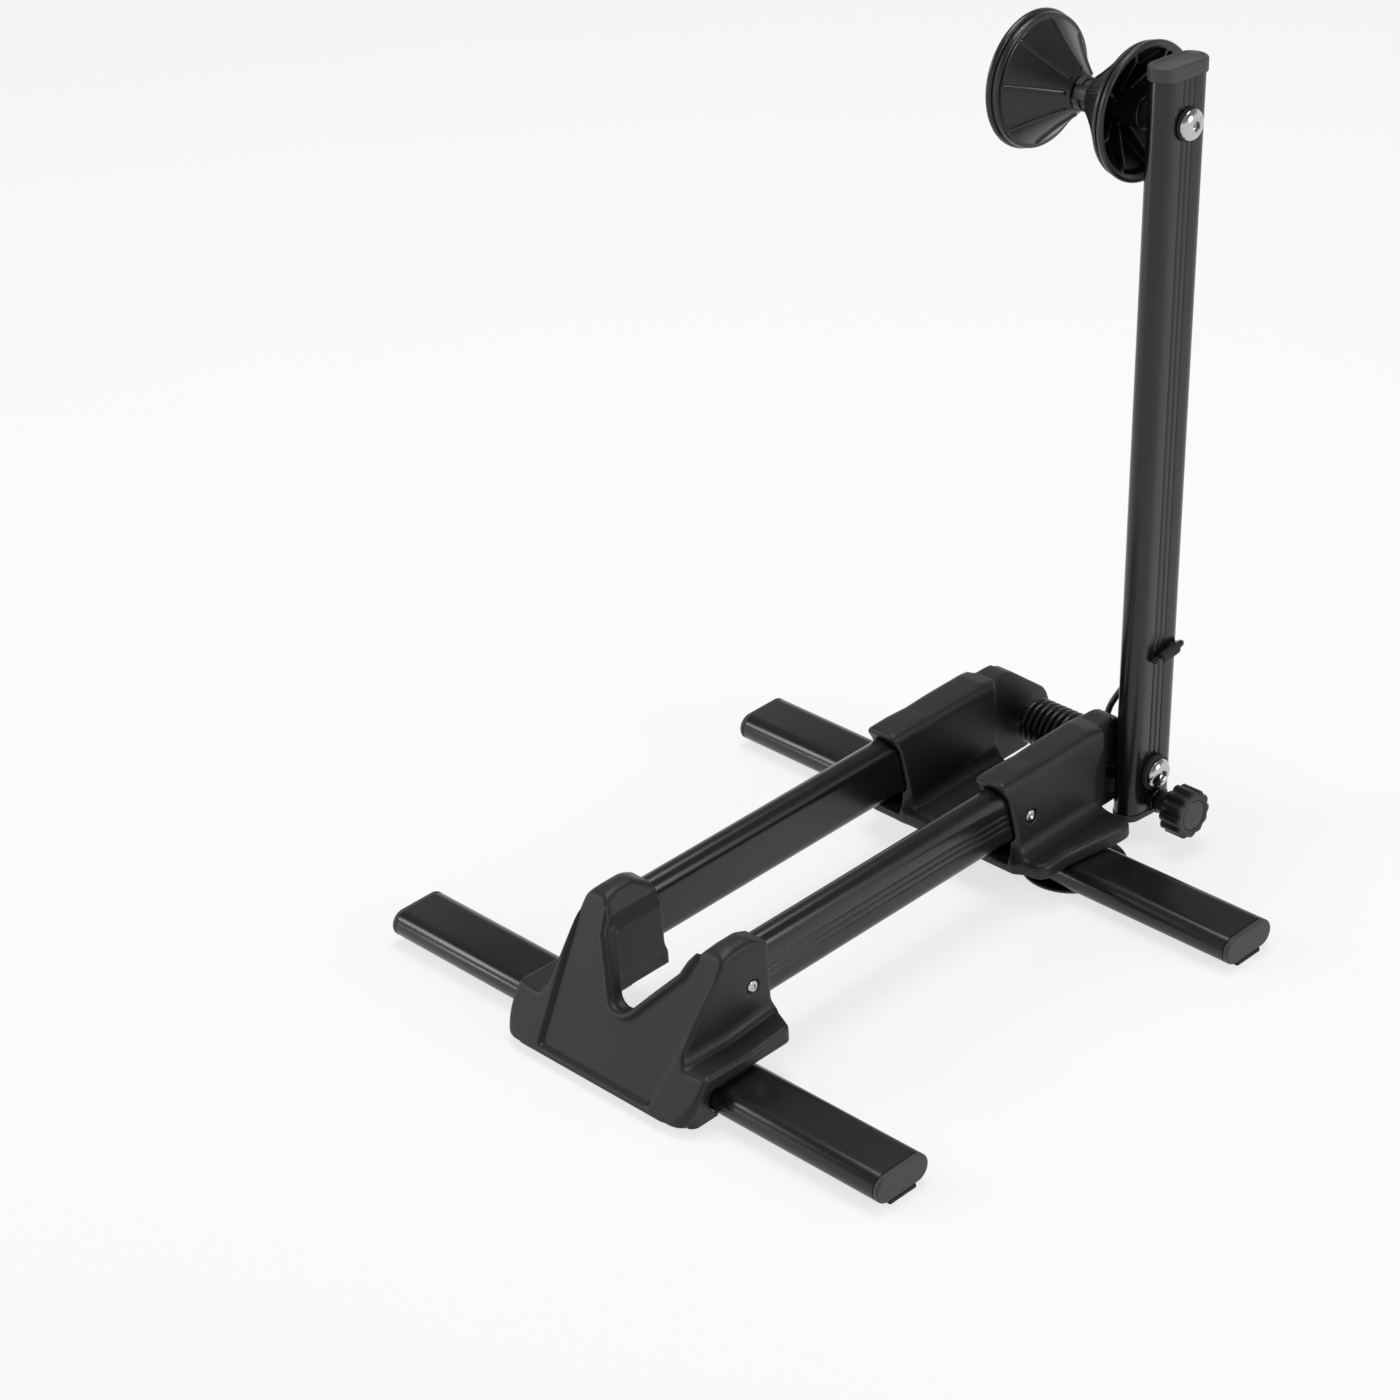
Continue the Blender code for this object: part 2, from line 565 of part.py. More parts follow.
# Foot blocks: clevis mouldings under the cradle that carry the front feet's pivots
def foot_block(word, side):
    """Block that hugs the front edge of a foot and holds its pivot."""
    gap = FOLD
    front = slope_y(CRADLE_LIP, CRADLE_WALL) + 2 * SEAT
    knee = CRADLE_LIP + (BLOCK_FRONT - front) / math.tan(CRADLE_SLOPE)
    top = TOWER_FLOOR - SEAT
    flat = TUBE_WIDTH / 2 - TUBE_THICK / 2
    hug = arc((-flat, FOOT_Z), TUBE_THICK / 2 + gap, 90, 250, ROUND_STEPS)
    outline = [(BLOCK_FRONT + MM, BLOCK_LIFT), (BLOCK_FRONT, BLOCK_LIFT + MM), (BLOCK_FRONT, knee),
               (slope_y(top, CRADLE_WALL) + 2 * SEAT, top), (BLOCK_REAR, top), (BLOCK_REAR, UNDERSIDE)]
    outline += hug + [(-flat - 3.0 * MM, BLOCK_LIFT)]
    low, high = sorted((side * BLOCK_IN, side * BLOCK_OUT))
    made = solid(f"foot_block_{word}", prism(outline, low, high, "X"), GLOSSY, STAND)
    ledge = SKIRT_TOP - SKIRT_DISH - CRADLE_WALL - SEAT
    step = ROOM_STEP - SEAT
    front_view = [(BLOCK_IN - MM, -MM), (BLOCK_OUT + MM, -MM), (BLOCK_OUT + MM, ledge), (step, ledge),
                  (step - 3.0 * MM, top), (step - 3.0 * MM, top + MM), (BLOCK_IN - MM, top + MM)]
    shape(made, prism([(side * a, b) for a, b in front_view], -0.1, 0.1, "Y"), "INTERSECT")
    nose = rounded([(BLOCK_IN - MM, BLOCK_FRONT, 0), (BLOCK_OUT, BLOCK_FRONT, BLOCK_CORNER),
                    (BLOCK_OUT, BLOCK_REAR + MM, 0), (BLOCK_IN - MM, BLOCK_REAR + MM, 0)])
    shape(made, prism([(side * a, b) for a, b in nose], -MM, 0.05, "Z"), "INTERSECT")
    swing = cylinder(FOOT_END_R + gap, FOOT_LOW - gap, UNDERSIDE, "Z", 28, (side * FOOT_PIVOT_X, 0.0))
    shape(made, swing)
    pivot_socket(made, side * FOOT_PIVOT_X, 0.0)


for word, sign in SIDES.items():
    foot_block(word, sign)


# Rear housing: two towers on one bridge, with lugs for the frame's shaft and an arc that the post clears
def housing():
    """The moulding that joins the rails at the back and carries the frame."""
    tower = rounded([(TOWER_OUT, 60.0 * MM, 0), (TOWER_OUT, HOUSING_TOP, 8.0 * MM),
                     (TOWER_IN, HOUSING_TOP, 7.0 * MM), (TOWER_IN, BRIDGE_TOP, 4.0 * MM), (0.0, BRIDGE_TOP, 0)])
    skirt = HOUSING_SKIRT
    half = [(0.0, UNDERSIDE)] + flare(skirt, UNDERSIDE, HOUSING_SKIRT_TOP, 2.5 * MM, 0.4 * MM, 10.0 * MM) + tower
    right = [(TOWER_OUT, HOUSING_COLLAR - MM, 0), (TOWER_OUT, HOUSING_FRONT, 3.0 * MM),
             (HOUSING_SKIRT_FRONT, HOUSING_FRONT + 2.5 * MM, 7.0 * MM), (HOUSING_SKIRT_FRONT, HOUSING_SKIRT_BEND, 0),
             (skirt, HOUSING_SKIRT_FULL, 0), (skirt, HOUSING_LIP_REAR, 7.0 * MM), (LUG_OUT, HOUSING_REAR, 0),
             (LUG_OUT, PIVOT_Y + LUG_R + MM, 0), (LUG_IN, PIVOT_Y + LUG_R + MM, 0), (LUG_IN, BRIDGE_REAR, 0)]
    plan = rounded([(-a, b, r) for a, b, r in reversed(right)] + right)
    pivot = (PIVOT_Y, PIVOT_Z)
    side = rounded([(PIVOT_Y, UNDERSIDE, 0), (HOUSING_FRONT, UNDERSIDE, 0), (HOUSING_FRONT, BRIDGE_TOP + MM, 0),
                    (HOUSING_SIDE_FRONT, BRIDGE_TOP + 2.0 * MM, 0), (HOUSING_SIDE_FRONT, 36.0 * MM, 20.0 * MM),
                    (HOUSING_COLLAR + 6.0 * MM, 64.0 * MM, 12.0 * MM), (HOUSING_COLLAR, HOUSING_TOP, 3.0 * MM),
                    (HOUSING_REAR - 8.0 * MM, HOUSING_TOP, 5.0 * MM), (HOUSING_REAR + MM, LUG_TOP, 0),
                    (PIVOT_Y - 9.0 * MM, LUG_TOP, 8.0 * MM)])
    side = side + arc(pivot, LUG_R, 40, -88, 14)
    made = three_views("rear_housing", mirrored(half), plan, side, MOULDED, STAND)
    rail_sockets(made, HOUSING_COLLAR - 5.0 * MM, RAIL_REAR + SEAT)
    screw_holes(made, HOUSING_SCREW)
    for sign in SIDES.values():
        pivot_socket(made, sign * FOOT_PIVOT_X, FOOT_SPAN)
        recess = sorted((sign * (LUG_OUT - LUG_RELIEF), sign * (skirt + MM)))
        shape(made, cylinder(RECESS_R, *recess, "X", 40, pivot))
        lug = sorted((sign * (LUG_IN - MM), sign * (LUG_OUT + MM)))
        shape(made, cylinder(SHAFT_R + RUN, *lug, "X", 18, pivot))
        under_rail = (sign * RAIL_X, RAIL_Z - TUBE_WIDTH / 2 + TUBE_THICK / 2)
        hug = arc(under_rail, TUBE_THICK / 2 + 2.3 * MM, -38, -142, 6)
        low = BRIDGE_TOP + 0.2 * MM
        pocket = [(sign * RAIL_X - 7.9 * MM, low), (sign * RAIL_X + 7.9 * MM, low)] + hug
        shape(made, prism(pocket, HOUSING_COLLAR - MM, HOUSING_POCKET_REAR, "Y"))
    turn = math.degrees(FOLD_BACK + POST_LEAN)
    slot_out = arc(pivot, KNOB_DROP + STUD_R + 2 * RUN, -90 - turn - 14, -90 + 34, 12)
    slot_in = arc(pivot, KNOB_DROP - STUD_R - 2 * RUN, -90 + 34, -90 - turn - 14, 12)
    shape(made, prism(slot_out + slot_in, LUG_OUT - 6.0 * MM, LUG_OUT + MM, "X"))


housing()


# Screws that hold the rails in the mouldings
def rail_screw(name, side, place):
    """Button-head screw from the tower's recess into the rail."""
    base = TOWER_OUT - SCREW_RECESS + SEAT
    top = base + SCREW_HEAD
    profile = [(base - SCREW_LENGTH, 0.0), (base - SCREW_LENGTH, SCREW_SHANK_R), (base, SCREW_SHANK_R),
               (base, SCREW_HEAD_R), (top - 0.5 * MM, SCREW_HEAD_R), (top, SCREW_HEAD_R * 0.7), (top, 0.0)]
    bm = turned([(side * along, radius) for along, radius in profile], "X", 14)
    made = solid(name, bm, STAINLESS, STAND, (0.0, *place))
    low, high = sorted((side * (top - 0.8 * MM), side * (top + MM)))
    shape(made, cylinder(1.6 * MM, low, high, "X", 6))


for word, sign in SIDES.items():
    rail_screw(f"cradle_screw_{word}", sign, CRADLE_SCREW)
    rail_screw(f"housing_screw_{word}", sign, HOUSING_SCREW)


# Post frame, in its own leaning axes: Z runs up the post from the pivot
FRAME = empty("post_frame", STAND, (0.0, PIVOT_Y, PIVOT_Z), -POST_LEAN)
POST_LOW = -POST_BELOW
POST_HIGH = ROLLER_HEIGHT + POST_ABOVE


def post():
    """The post on the right, with the caps on its two ends."""
    tube = [(b, a) for a, b in obround(TUBE_WIDTH, TUBE_THICK, GROOVE_COUNT)]
    hollow = [(b, a) for a, b in obround(TUBE_WIDTH - 2 * TUBE_WALL, TUBE_THICK - 2 * TUBE_WALL)]
    at = (POST_X, 0.0, 0.0)
    made = solid("post", prism(tube, POST_LOW, POST_HIGH, "Z"), ANODISED, FRAME, at)
    shape(made, prism(hollow, POST_LOW - MM, POST_HIGH + MM, "Z"))
    reach = TUBE_THICK
    for height in (0.0, ROLLER_HEIGHT):
        shape(made, cylinder(SHAFT_R + RUN, -reach, reach, "X", 18, (0.0, height)))
    shape(made, cylinder(STUD_R + RUN, -reach, reach, "X", 14, (0.0, -KNOB_DROP)))
    shape(made, cylinder(SPRING_WIRE_R + RUN, 0.0, reach, "X", 14, SPRING_LEG_HOLE))

    def section(grow):
        return [(b, a) for a, b in obround(TUBE_WIDTH + 2 * grow, TUBE_THICK + 2 * grow)]

    plug = -TUBE_WALL - SEAT
    low = POST_LOW - SEAT
    foot_rings = [(low + FOOT_CAP_PLUG, plug), (low, plug), (low, 0.3 * MM),
                  (low - FOOT_CAP_THICK + CAP_RIM, 0.3 * MM), (low - FOOT_CAP_THICK, 0.3 * MM - CAP_RIM)]
    bm = loft([(height, section(grow)) for height, grow in foot_rings], "Z")
    solid("post_foot_cap", bm, CAP, FRAME, at)

    base = POST_HIGH + SEAT
    top = base + TOP_CAP_THICK
    over = TOP_CAP_OVER
    chamfer = 0.9 * MM
    top_rings = [(base - CAP_PLUG, plug), (base, plug), (base, over), (top - chamfer, over),
                 (top, over - chamfer), (top, over - TOP_CAP_RIM - chamfer),
                 (top - TOP_CAP_DISH, over - TOP_CAP_RIM - chamfer - TOP_CAP_DISH)]
    bm = loft([(height, section(grow)) for height, grow in top_rings], "Z")
    solid("post_top_cap", bm, CAP, FRAME, at)

    for name, height in (("pivot_spacer", 0.0), ("roller_post_spacer", ROLLER_HEIGHT)):
        bm = ring(SHAFT_R + RUN, SPACER_R, POST_IN + TUBE_WALL + SEAT, POST_OUT - TUBE_WALL - SEAT, "X")
        solid(name, bm, STEEL, FRAME, (0.0, 0.0, height))


post()


def shaft(name, height, ends):
    """Cross shaft held in the post, bored at both ends for the bolts."""
    left, right = (ends[word] - SHAFT_INSET for word in SIDES)
    made = solid(name, cylinder(SHAFT_R, -left, right, "X"), STEEL, FRAME, (0.0, 0.0, height))
    for side, end in ((-1, left), (1, right)):
        low, high = sorted((side * (end - BOLT_SHANK - MM), side * (end + MM)))
        shape(made, cylinder(BOLT_SHANK_R + RUN, low, high, "X", 14))


def bolt(name, side, height, face, washer_name, washer_r, washer):
    """Button-head bolt with its washer on the end of a shaft."""
    bm = ring(BOLT_SHANK_R + RUN, washer_r, *sorted((side * face, side * (face + washer))), "X", 20)
    solid(washer_name, bm, RUBBER, FRAME, (0.0, 0.0, height))
    seat = face + washer + SEAT
    tip = seat - BOLT_SHANK
    dome = [(seat + BOLT_HEAD * math.sin(t), BOLT_HEAD_R * math.cos(t)) for t in np.radians((16, 42, 66))]
    profile = [(tip, 0.0), (tip, BOLT_SHANK_R), (seat, BOLT_SHANK_R), (seat, BOLT_HEAD_R)] + dome
    profile.append((profile[-1][0], 0.0))
    bm = turned([(side * along, radius) for along, radius in profile], "X", 20)
    made = solid(name, bm, STAINLESS, FRAME, (0.0, 0.0, height))
    crown = profile[-1][0]
    low, high = sorted((side * (crown - BOLT_SOCKET_DEPTH), side * (crown + MM)))
    shape(made, cylinder(BOLT_SOCKET / 2 / math.cos(math.radians(30)), low, high, "X", 6))


shaft("pivot_shaft", 0.0, PIVOT_ENDS)
shaft("roller_axle", ROLLER_HEIGHT, ROLLER_ENDS)
for word, sign in SIDES.items():
    bolt(f"pivot_bolt_{word}", sign, 0.0, PIVOT_ENDS[word] + SEAT,
         f"pivot_washer_{word}", PIVOT_WASHER_R, PIVOT_WASHER)
    bolt(f"roller_bolt_{word}", sign, ROLLER_HEIGHT, ROLLER_ENDS[word] + SEAT,
         f"roller_washer_{word}", ROLLER_WASHER_R, ROLLER_WASHER)


# V roller: two ribbed cones on a sleeve, free on the axle
SPOOL = empty("roller_spool", FRAME, (ROLLER_X, 0.0, ROLLER_HEIGHT))


def cone(word, side):
    """One cone with a double rim band, an open outer side and ribs from the hub to the rim."""
    lip = CONE_LIP_X
    rim = lip - CONE_RIM
    rise = Vector((rim - CONE_WAIST_X, CONE_LIP_R - 4.0 * MM - CONE_WAIST_R)).normalized()
    inward = Vector((rise.y, -rise.x)) * CONE_WALL

    def along(share, off=0.0):
        """Point on the cone's tyre side, or set off inside it, with its slight hollow."""
        x = CONE_WAIST_X + (rim - CONE_WAIST_X) * share
        r = CONE_WAIST_R + (CONE_LIP_R - 4.0 * MM - CONE_WAIST_R) * (0.82 * share + 0.18 * share ** 2)
        return (x + inward.x * off, r + inward.y * off)

    outside = [along(t) for t in (0.0, 0.35, 0.7, 1.0)]
    band = [(rim + 0.3 * MM, CONE_LIP_R - 2.2 * MM), (rim + 1.9 * MM, CONE_LIP_R - 1.6 * MM),
            (rim + 2.2 * MM, CONE_LIP_R - 2.6 * MM), (rim + 2.9 * MM, CONE_LIP_R - 2.5 * MM),
            (rim + 3.2 * MM, CONE_LIP_R - 0.5 * MM), (lip - 0.6 * MM, CONE_LIP_R), (lip, CONE_LIP_R - 0.6 * MM),
            (lip, CONE_LIP_R - 2.2 * MM), (lip - 2.0 * MM, CONE_LIP_R - 4.4 * MM)]
    inside = [along(t, 1.0) for t in (1.0, 0.6, 0.25)]
    hub = [(inside[-1][0], CONE_HUB_R), (lip + SEAT, CONE_HUB_R), (lip + SEAT, SHAFT_R + RUN)]
    profile = [(CONE_WAIST_X, SHAFT_R + RUN)] + outside + band + inside + hub
    bm = turned([(side * x, r) for x, r in profile], "X", 32)
    made = solid(f"roller_cone_{word}", bm, GLOSSY, SPOOL)
    proud = -CONE_RIB_PROUD / CONE_WALL
    low = SHAFT_R + 2.0 * MM
    rib = [along(t, proud) for t in (0.1, 0.4, 0.7, 0.97)]
    rib += [(rim + 2.0 * MM, CONE_LIP_R - 3.6 * MM), (lip - 2.2 * MM, CONE_LIP_R - 3.4 * MM),
            (lip - 2.2 * MM, CONE_LIP_R - 8.0 * MM), (lip - 15.0 * MM, CONE_HUB_R), (lip - 16.0 * MM, low),
            (CONE_WAIST_X + 3.0 * MM, low)]
    blades = bmesh.new()
    for k in range(CONE_RIBS):
        t = CONE_FIRST_RIB[word] + 2 * math.pi * k / CONE_RIBS
        out = Vector((0.0, math.cos(t), math.sin(t)))
        across = Vector((0.0, -math.sin(t), math.cos(t))) * (CONE_RIB_THICK / 2)
        flat = [Vector((side * x, 0.0, 0.0)) + out * r for x, r in rib]
        front = [blades.verts.new(p + across) for p in flat]
        back = [blades.verts.new(p - across) for p in flat]
        blades.faces.new(front)
        blades.faces.new(back)
        for i in range(len(flat)):
            j = (i + 1) % len(flat)
            blades.faces.new((front[i], front[j], back[j], back[i]))
    shape(made, blades, "UNION")


for word, sign in SIDES.items():
    cone(word, sign)
bm = ring(SHAFT_R + RUN, ROLLER_SPACER_R, ROLLER_X + CONE_LIP_X + 2 * SEAT, POST_IN - SEAT, "X")
solid("roller_spacer", bm, MOULDED, FRAME, (0.0, 0.0, ROLLER_HEIGHT))
sleeve_end = CONE_WAIST_X - SEAT
solid("roller_sleeve", ring(SHAFT_R + RUN, SLEEVE_R, -sleeve_end, sleeve_end, "X"), MOULDED, SPOOL)


# Torsion spring round the pivot, with one end in the left lug and its leg hooked round the post
def smooth(points, steps):
    """Catmull-Rom curve through the points."""
    ends = [points[0] * 2 - points[1]] + points + [points[-1] * 2 - points[-2]]
    made = []
    for a, b, c, d in zip(ends, ends[1:], ends[2:], ends[3:]):
        for i in range(steps):
            t = i / steps
            made.append(0.5 * (2 * b + (c - a) * t + (2 * a - 5 * b + 4 * c - d) * t ** 2
                               + (3 * b - a - 3 * c + d) * t ** 3))
    return made + [points[-1]]


def quarter(start, along, turn_to, radius, steps=4):
    """Bend from one direction to a square one, leaving out its first point."""
    angles = [math.radians(90 * (i + 1) / steps) for i in range(steps)]
    return [start + along * radius * math.sin(t) + turn_to * radius * (1 - math.cos(t)) for t in angles]


def spring_route():
    """Points along the wire, from the tang at the left lug to the hole in the post."""
    left = Vector((-1.0, 0.0, 0.0))

    def coil(turns):
        t = math.radians(270) - 2 * math.pi * turns
        return Vector((SPRING_FIRST_X + SPRING_PITCH * turns, SPRING_R * math.cos(t), SPRING_R * math.sin(t)))

    tang = quarter(coil(0.0), Vector((0.0, 1.0, 0.0)), left, SPRING_BEND)
    tip = Vector((-LUG_IN + SEAT, tang[-1].y, tang[-1].z))
    coils = [coil(k / SPRING_STEPS) for k in range(SPRING_TURNS * SPRING_STEPS + SPRING_STEPS // 3 + 1)]
    away = Vector((0.0, 0.5, math.sqrt(0.75)))
    hole_y, hole_z = SPRING_LEG_HOLE
    outer_x = POST_OUT + SEAT + SPRING_WIRE_R + SLEEVE_WALL + RUN
    round_back = TUBE_WIDTH / 2 - TUBE_THICK / 2
    climb = [coils[-1] + away * run * MM + Vector((out * MM, 0.0, 0.0))
             for run, out in ((0.0, 0.0), (9.0, 0.2), (18.0, 0.5), (27.0, 0.9), (45.0, 7.0))]
    wrap = []
    for k, turn in enumerate((145, 115, 85, 55, 25)):
        reach = TUBE_THICK / 2 + SPRING_WIRE_R + (0.7 + 0.2 * k) * MM
        t = math.radians(turn)
        wrap.append(Vector((POST_X + reach * math.cos(t), round_back + reach * math.sin(t),
                            hole_z - (9.0 - 3.0 * k) * MM)))
    face = Vector((outer_x, hole_y + SPRING_BEND, hole_z))
    run_in = Vector((outer_x, round_back + 1.0 * MM, hole_z + 3.0 * MM))
    leg = smooth(climb + wrap + [run_in], 3)
    inward = quarter(face, Vector((0.0, -1.0, 0.0)), left, SPRING_BEND)
    stop = Vector((POST_OUT - TUBE_WALL + SEAT, inward[-1].y, inward[-1].z))
    return [tip] + list(reversed(tang)) + coils[:-1] + leg + [face] + inward + [stop]


def spring():
    """The wire as one tube, and the sleeve on its leg."""
    route = spring_route()
    points = np.array([tuple(p) for p in route])
    away = np.linalg.norm(points[:, None] - points[None], axis=2)
    order = np.arange(len(points))
    apart = np.abs(order[:, None] - order[None]) >= SPRING_STEPS - 2
    print(f"torsion spring: least gap to itself {(away[apart].min() - 2 * SPRING_WIRE_R) / MM:.2f} mm")
    curve = bpy.data.curves.new("torsion_spring", "CURVE")
    curve.dimensions = "3D"
    curve.bevel_depth = SPRING_WIRE_R
    curve.bevel_resolution = 1
    curve.use_fill_caps = True
    line = curve.splines.new("POLY")
    line.points.add(len(route) - 1)
    for spot, place in zip(line.points, route):
        spot.co = (*place, 1.0)
    curve.materials.append(BLACK_STEEL)
    made = bpy.data.objects.new("torsion_spring", curve)
    made.parent = FRAME
    scene.collection.objects.link(made)

    outer_x = POST_OUT + SEAT + SPRING_WIRE_R + SLEEVE_WALL + RUN
    round_back = TUBE_WIDTH / 2 - TUBE_THICK / 2
    hole_y, hole_z = SPRING_LEG_HOLE
    head = Vector((outer_x, round_back + 1.0 * MM, hole_z + 3.0 * MM))
    tail = Vector((outer_x, hole_y + SPRING_BEND, hole_z))
    run = head - tail
    bore = SPRING_WIRE_R + RUN
    end = run.length - 1.0 * MM
    bm = ring(bore, bore + SLEEVE_WALL, end - SLEEVE_LENGTH + 4.0 * MM, end, "Y", 16)
    sleeve = solid("spring_sleeve", bm, RUBBER, FRAME, tail)
    sleeve.rotation_euler = (math.atan2(run.z, run.y), 0.0, 0.0)


spring()


# Lock: a knob and stud that clamp the post to the lug at any lean
def lock():
    """Hex collar, stud and fluted knob on the post's outer face."""
    height = -KNOB_DROP
    face = POST_OUT + SEAT

    def hexagon(flats):
        return arc((0.0, 0.0), flats / 2 / math.cos(math.radians(30)), 0, 300, 5)

    step = face + PIVOT_WASHER + SEAT
    rings = [(face, hexagon(COLLAR_NECK_FLATS)), (step, hexagon(COLLAR_NECK_FLATS)),
             (step, hexagon(COLLAR_FLATS)), (face + COLLAR_THICK, hexagon(COLLAR_FLATS))]
    collar = solid("lock_collar", loft(rings, "X"), BLACK_STEEL, FRAME, (0.0, 0.0, height))
    shape(collar, cylinder(STUD_R + RUN, face - MM, face + COLLAR_THICK + MM, "X", 14))

    turning = empty("lock_knob_turn", FRAME, (0.0, 0.0, height))
    back = KNOB_FACE_X - KNOB_LENGTH
    solid("lock_stud", cylinder(STUD_R, STUD_TIP_X, back + STUD_SOCKET - 4.0 * MM, "X", 14), STEEL, turning)
    steps = KNOB_LOBES * 5

    def fluted(size):
        turns = [2 * math.pi * k / steps for k in range(steps)]
        radii = [size - KNOB_FLUTE * (0.5 - 0.5 * math.cos(KNOB_LOBES * t)) ** 1.5 for t in turns]
        return [(r * math.cos(t), r * math.sin(t)) for r, t in zip(radii, turns)]

    def plain(size):
        return arc((0.0, 0.0), size, 0, 360 - 360 / steps, steps - 1)

    neck = back - KNOB_NECK
    rings = [(neck, plain(KNOB_NECK_R)), (neck + 3.0 * MM, plain(KNOB_NECK_R + 0.4 * MM)),
             (back, plain(KNOB_NECK_BACK_R)), (back, fluted(KNOB_R - 1.0 * MM)),
             (back + 1.0 * MM, fluted(KNOB_R)), (KNOB_FACE_X - 1.4 * MM, fluted(KNOB_R)),
             (KNOB_FACE_X - 0.4 * MM, fluted(KNOB_R - 0.8 * MM)), (KNOB_FACE_X, plain(KNOB_R - 2.8 * MM))]
    knob = solid("lock_knob", loft(rings, "X"), MOULDED, turning)
    shape(knob, cylinder(STUD_R + RUN, neck - MM, back + STUD_SOCKET - 4.0 * MM + SEAT, "X", 14))
    floor = KNOB_FACE_X - KNOB_CAP_THICK - SEAT
    shape(knob, cylinder(KNOB_CAP_R + SEAT, floor, KNOB_FACE_X + MM, "X", 24))
    cap = cylinder(KNOB_CAP_R, floor + SEAT, KNOB_FACE_X, "X", 24)
    solid("lock_knob_cap", cap, CAP, turning)


lock()
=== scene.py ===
# %% [markdown]
# # A folding floor stand, dressed for its photograph
#
# The measured model is loaded first and stays as it is. Every visible piece is then made again, finer,
# in the place of the solid that it stands for: the tubes, the fittings, the spring, the roller and the big
# mouldings. Finishes come before the pieces, so that each piece can name its own.
# Lengths are in millimetres until a piece is put in place, and Y counts back from the front feet's pivots.

# %% Load the measured model
import json
import math

import bmesh
import bpy
import numpy as np
import openvdb
from mathutils import Matrix, Vector


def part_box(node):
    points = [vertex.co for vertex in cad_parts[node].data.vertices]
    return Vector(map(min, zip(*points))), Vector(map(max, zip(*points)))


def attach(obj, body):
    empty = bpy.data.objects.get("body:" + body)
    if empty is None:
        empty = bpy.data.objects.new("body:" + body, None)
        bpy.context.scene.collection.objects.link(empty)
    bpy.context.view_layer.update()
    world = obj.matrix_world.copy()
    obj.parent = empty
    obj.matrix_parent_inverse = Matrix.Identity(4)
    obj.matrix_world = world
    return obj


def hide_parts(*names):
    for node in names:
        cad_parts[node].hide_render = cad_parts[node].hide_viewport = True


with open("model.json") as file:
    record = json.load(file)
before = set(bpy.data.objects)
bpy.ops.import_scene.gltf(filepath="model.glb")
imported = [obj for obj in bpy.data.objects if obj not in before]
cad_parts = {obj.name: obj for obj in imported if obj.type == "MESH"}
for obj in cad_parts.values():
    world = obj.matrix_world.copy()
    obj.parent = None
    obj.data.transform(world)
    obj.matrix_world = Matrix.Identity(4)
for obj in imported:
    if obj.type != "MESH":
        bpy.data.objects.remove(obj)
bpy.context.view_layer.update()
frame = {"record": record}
for plain in bpy.data.materials:
    plain.name = f"plain_{plain.name}"
bodies = frame["record"]["behaviour"]["bodies"]
body_of_node = {node: body for body, nodes in bodies.items() for node in nodes}

# %% [markdown]
# ## Two sets of axes
#
# The rails and the mouldings stand square to the floor, but the post leans back by a few degrees about the
# shaft at its foot. It is easier to draw the post upright and lean the finished points, so one function
# moves points of the stand into place, and a second one first leans points of the post about the pivot.
# The pivot's place in the loaded model gives the shift between the two sets of axes.

# %% From drawing to place
MM = 0.001
LEAN = math.radians(4.6)
PIVOT_Y, PIVOT_Z = 323.6, 37.7
shaft_low, shaft_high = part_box("pivot_shaft")
CENTRE_Y = PIVOT_Y - (shaft_low.y + shaft_high.y) / 2 / MM


def on_stand(points):
    """Metres in the model's axes: the middle of the stand is taken off Y."""
    return (np.asarray(points, float) - [0.0, CENTRE_Y, 0.0]) * MM


def on_post(points):
    """The same for a point of the upright post: turned about X by the lean, then moved to the pivot."""
    x, y, z = np.moveaxis(np.asarray(points, float), -1, 0)
    c, s = math.cos(LEAN), math.sin(LEAN)
    return on_stand(np.stack([x, y * c + z * s + PIVOT_Y, z * c - y * s + PIVOT_Z], -1))


print(f"the stand's middle is {CENTRE_Y:.2f} mm behind the front pivots")

# %% [markdown]
# ## The camera
#
# The photograph looks down on the right front corner through a long lens. Where the camera stands, which way
# it looks and how long its lens is were found from points of the stand that are seen in it, so the numbers
# are simply given here. They are turned into the directions of the view, of the picture's right and of its
# bottom.

# %% Camera
CAMERA_AT = (1214.87, -1052.73, 1151.6)
PHOTO_WIDE, LENS_IN_PIXELS, FILM_WIDE = 1400.0, 3898.8, 36.0
bearing, dip, roll = np.radians((47.683, 30.503, -4.232))
ahead = np.array([-math.sin(bearing) * math.cos(dip), math.cos(bearing) * math.cos(dip), -math.sin(dip)])
level = np.array([math.cos(bearing), math.sin(bearing), 0.0])
below = np.cross(ahead, level)
across = math.cos(roll) * level - math.sin(roll) * below
down = math.sin(roll) * level + math.cos(roll) * below
camera = bpy.data.objects.new("camera", bpy.data.cameras.new("camera"))
bpy.context.scene.collection.objects.link(camera)
turn = Matrix(np.stack([across, -down, -ahead], 1).tolist())
camera.matrix_world = Matrix.Translation(on_stand(CAMERA_AT)) @ turn.to_4x4()
camera.data.sensor_width = FILM_WIDE
camera.data.lens = LENS_IN_PIXELS * FILM_WIDE / PHOTO_WIDE
camera.data.clip_end = 50.0
bpy.context.scene.camera = camera
print(f"lens {camera.data.lens:.1f} mm, {math.degrees(dip):.1f} degrees down")

# %% [markdown]
# ## Finishes
#
# All of the stand is black, and what tells one piece from another is how it shines. A finish is therefore
# mostly a matter of roughness and of very small relief. Sums on shader values are written as plain Python:
# a small class wraps a socket and turns each operator into a Math node, and one method of the tree adds any
# other node. The floor and the world are made with the same two classes at the end.

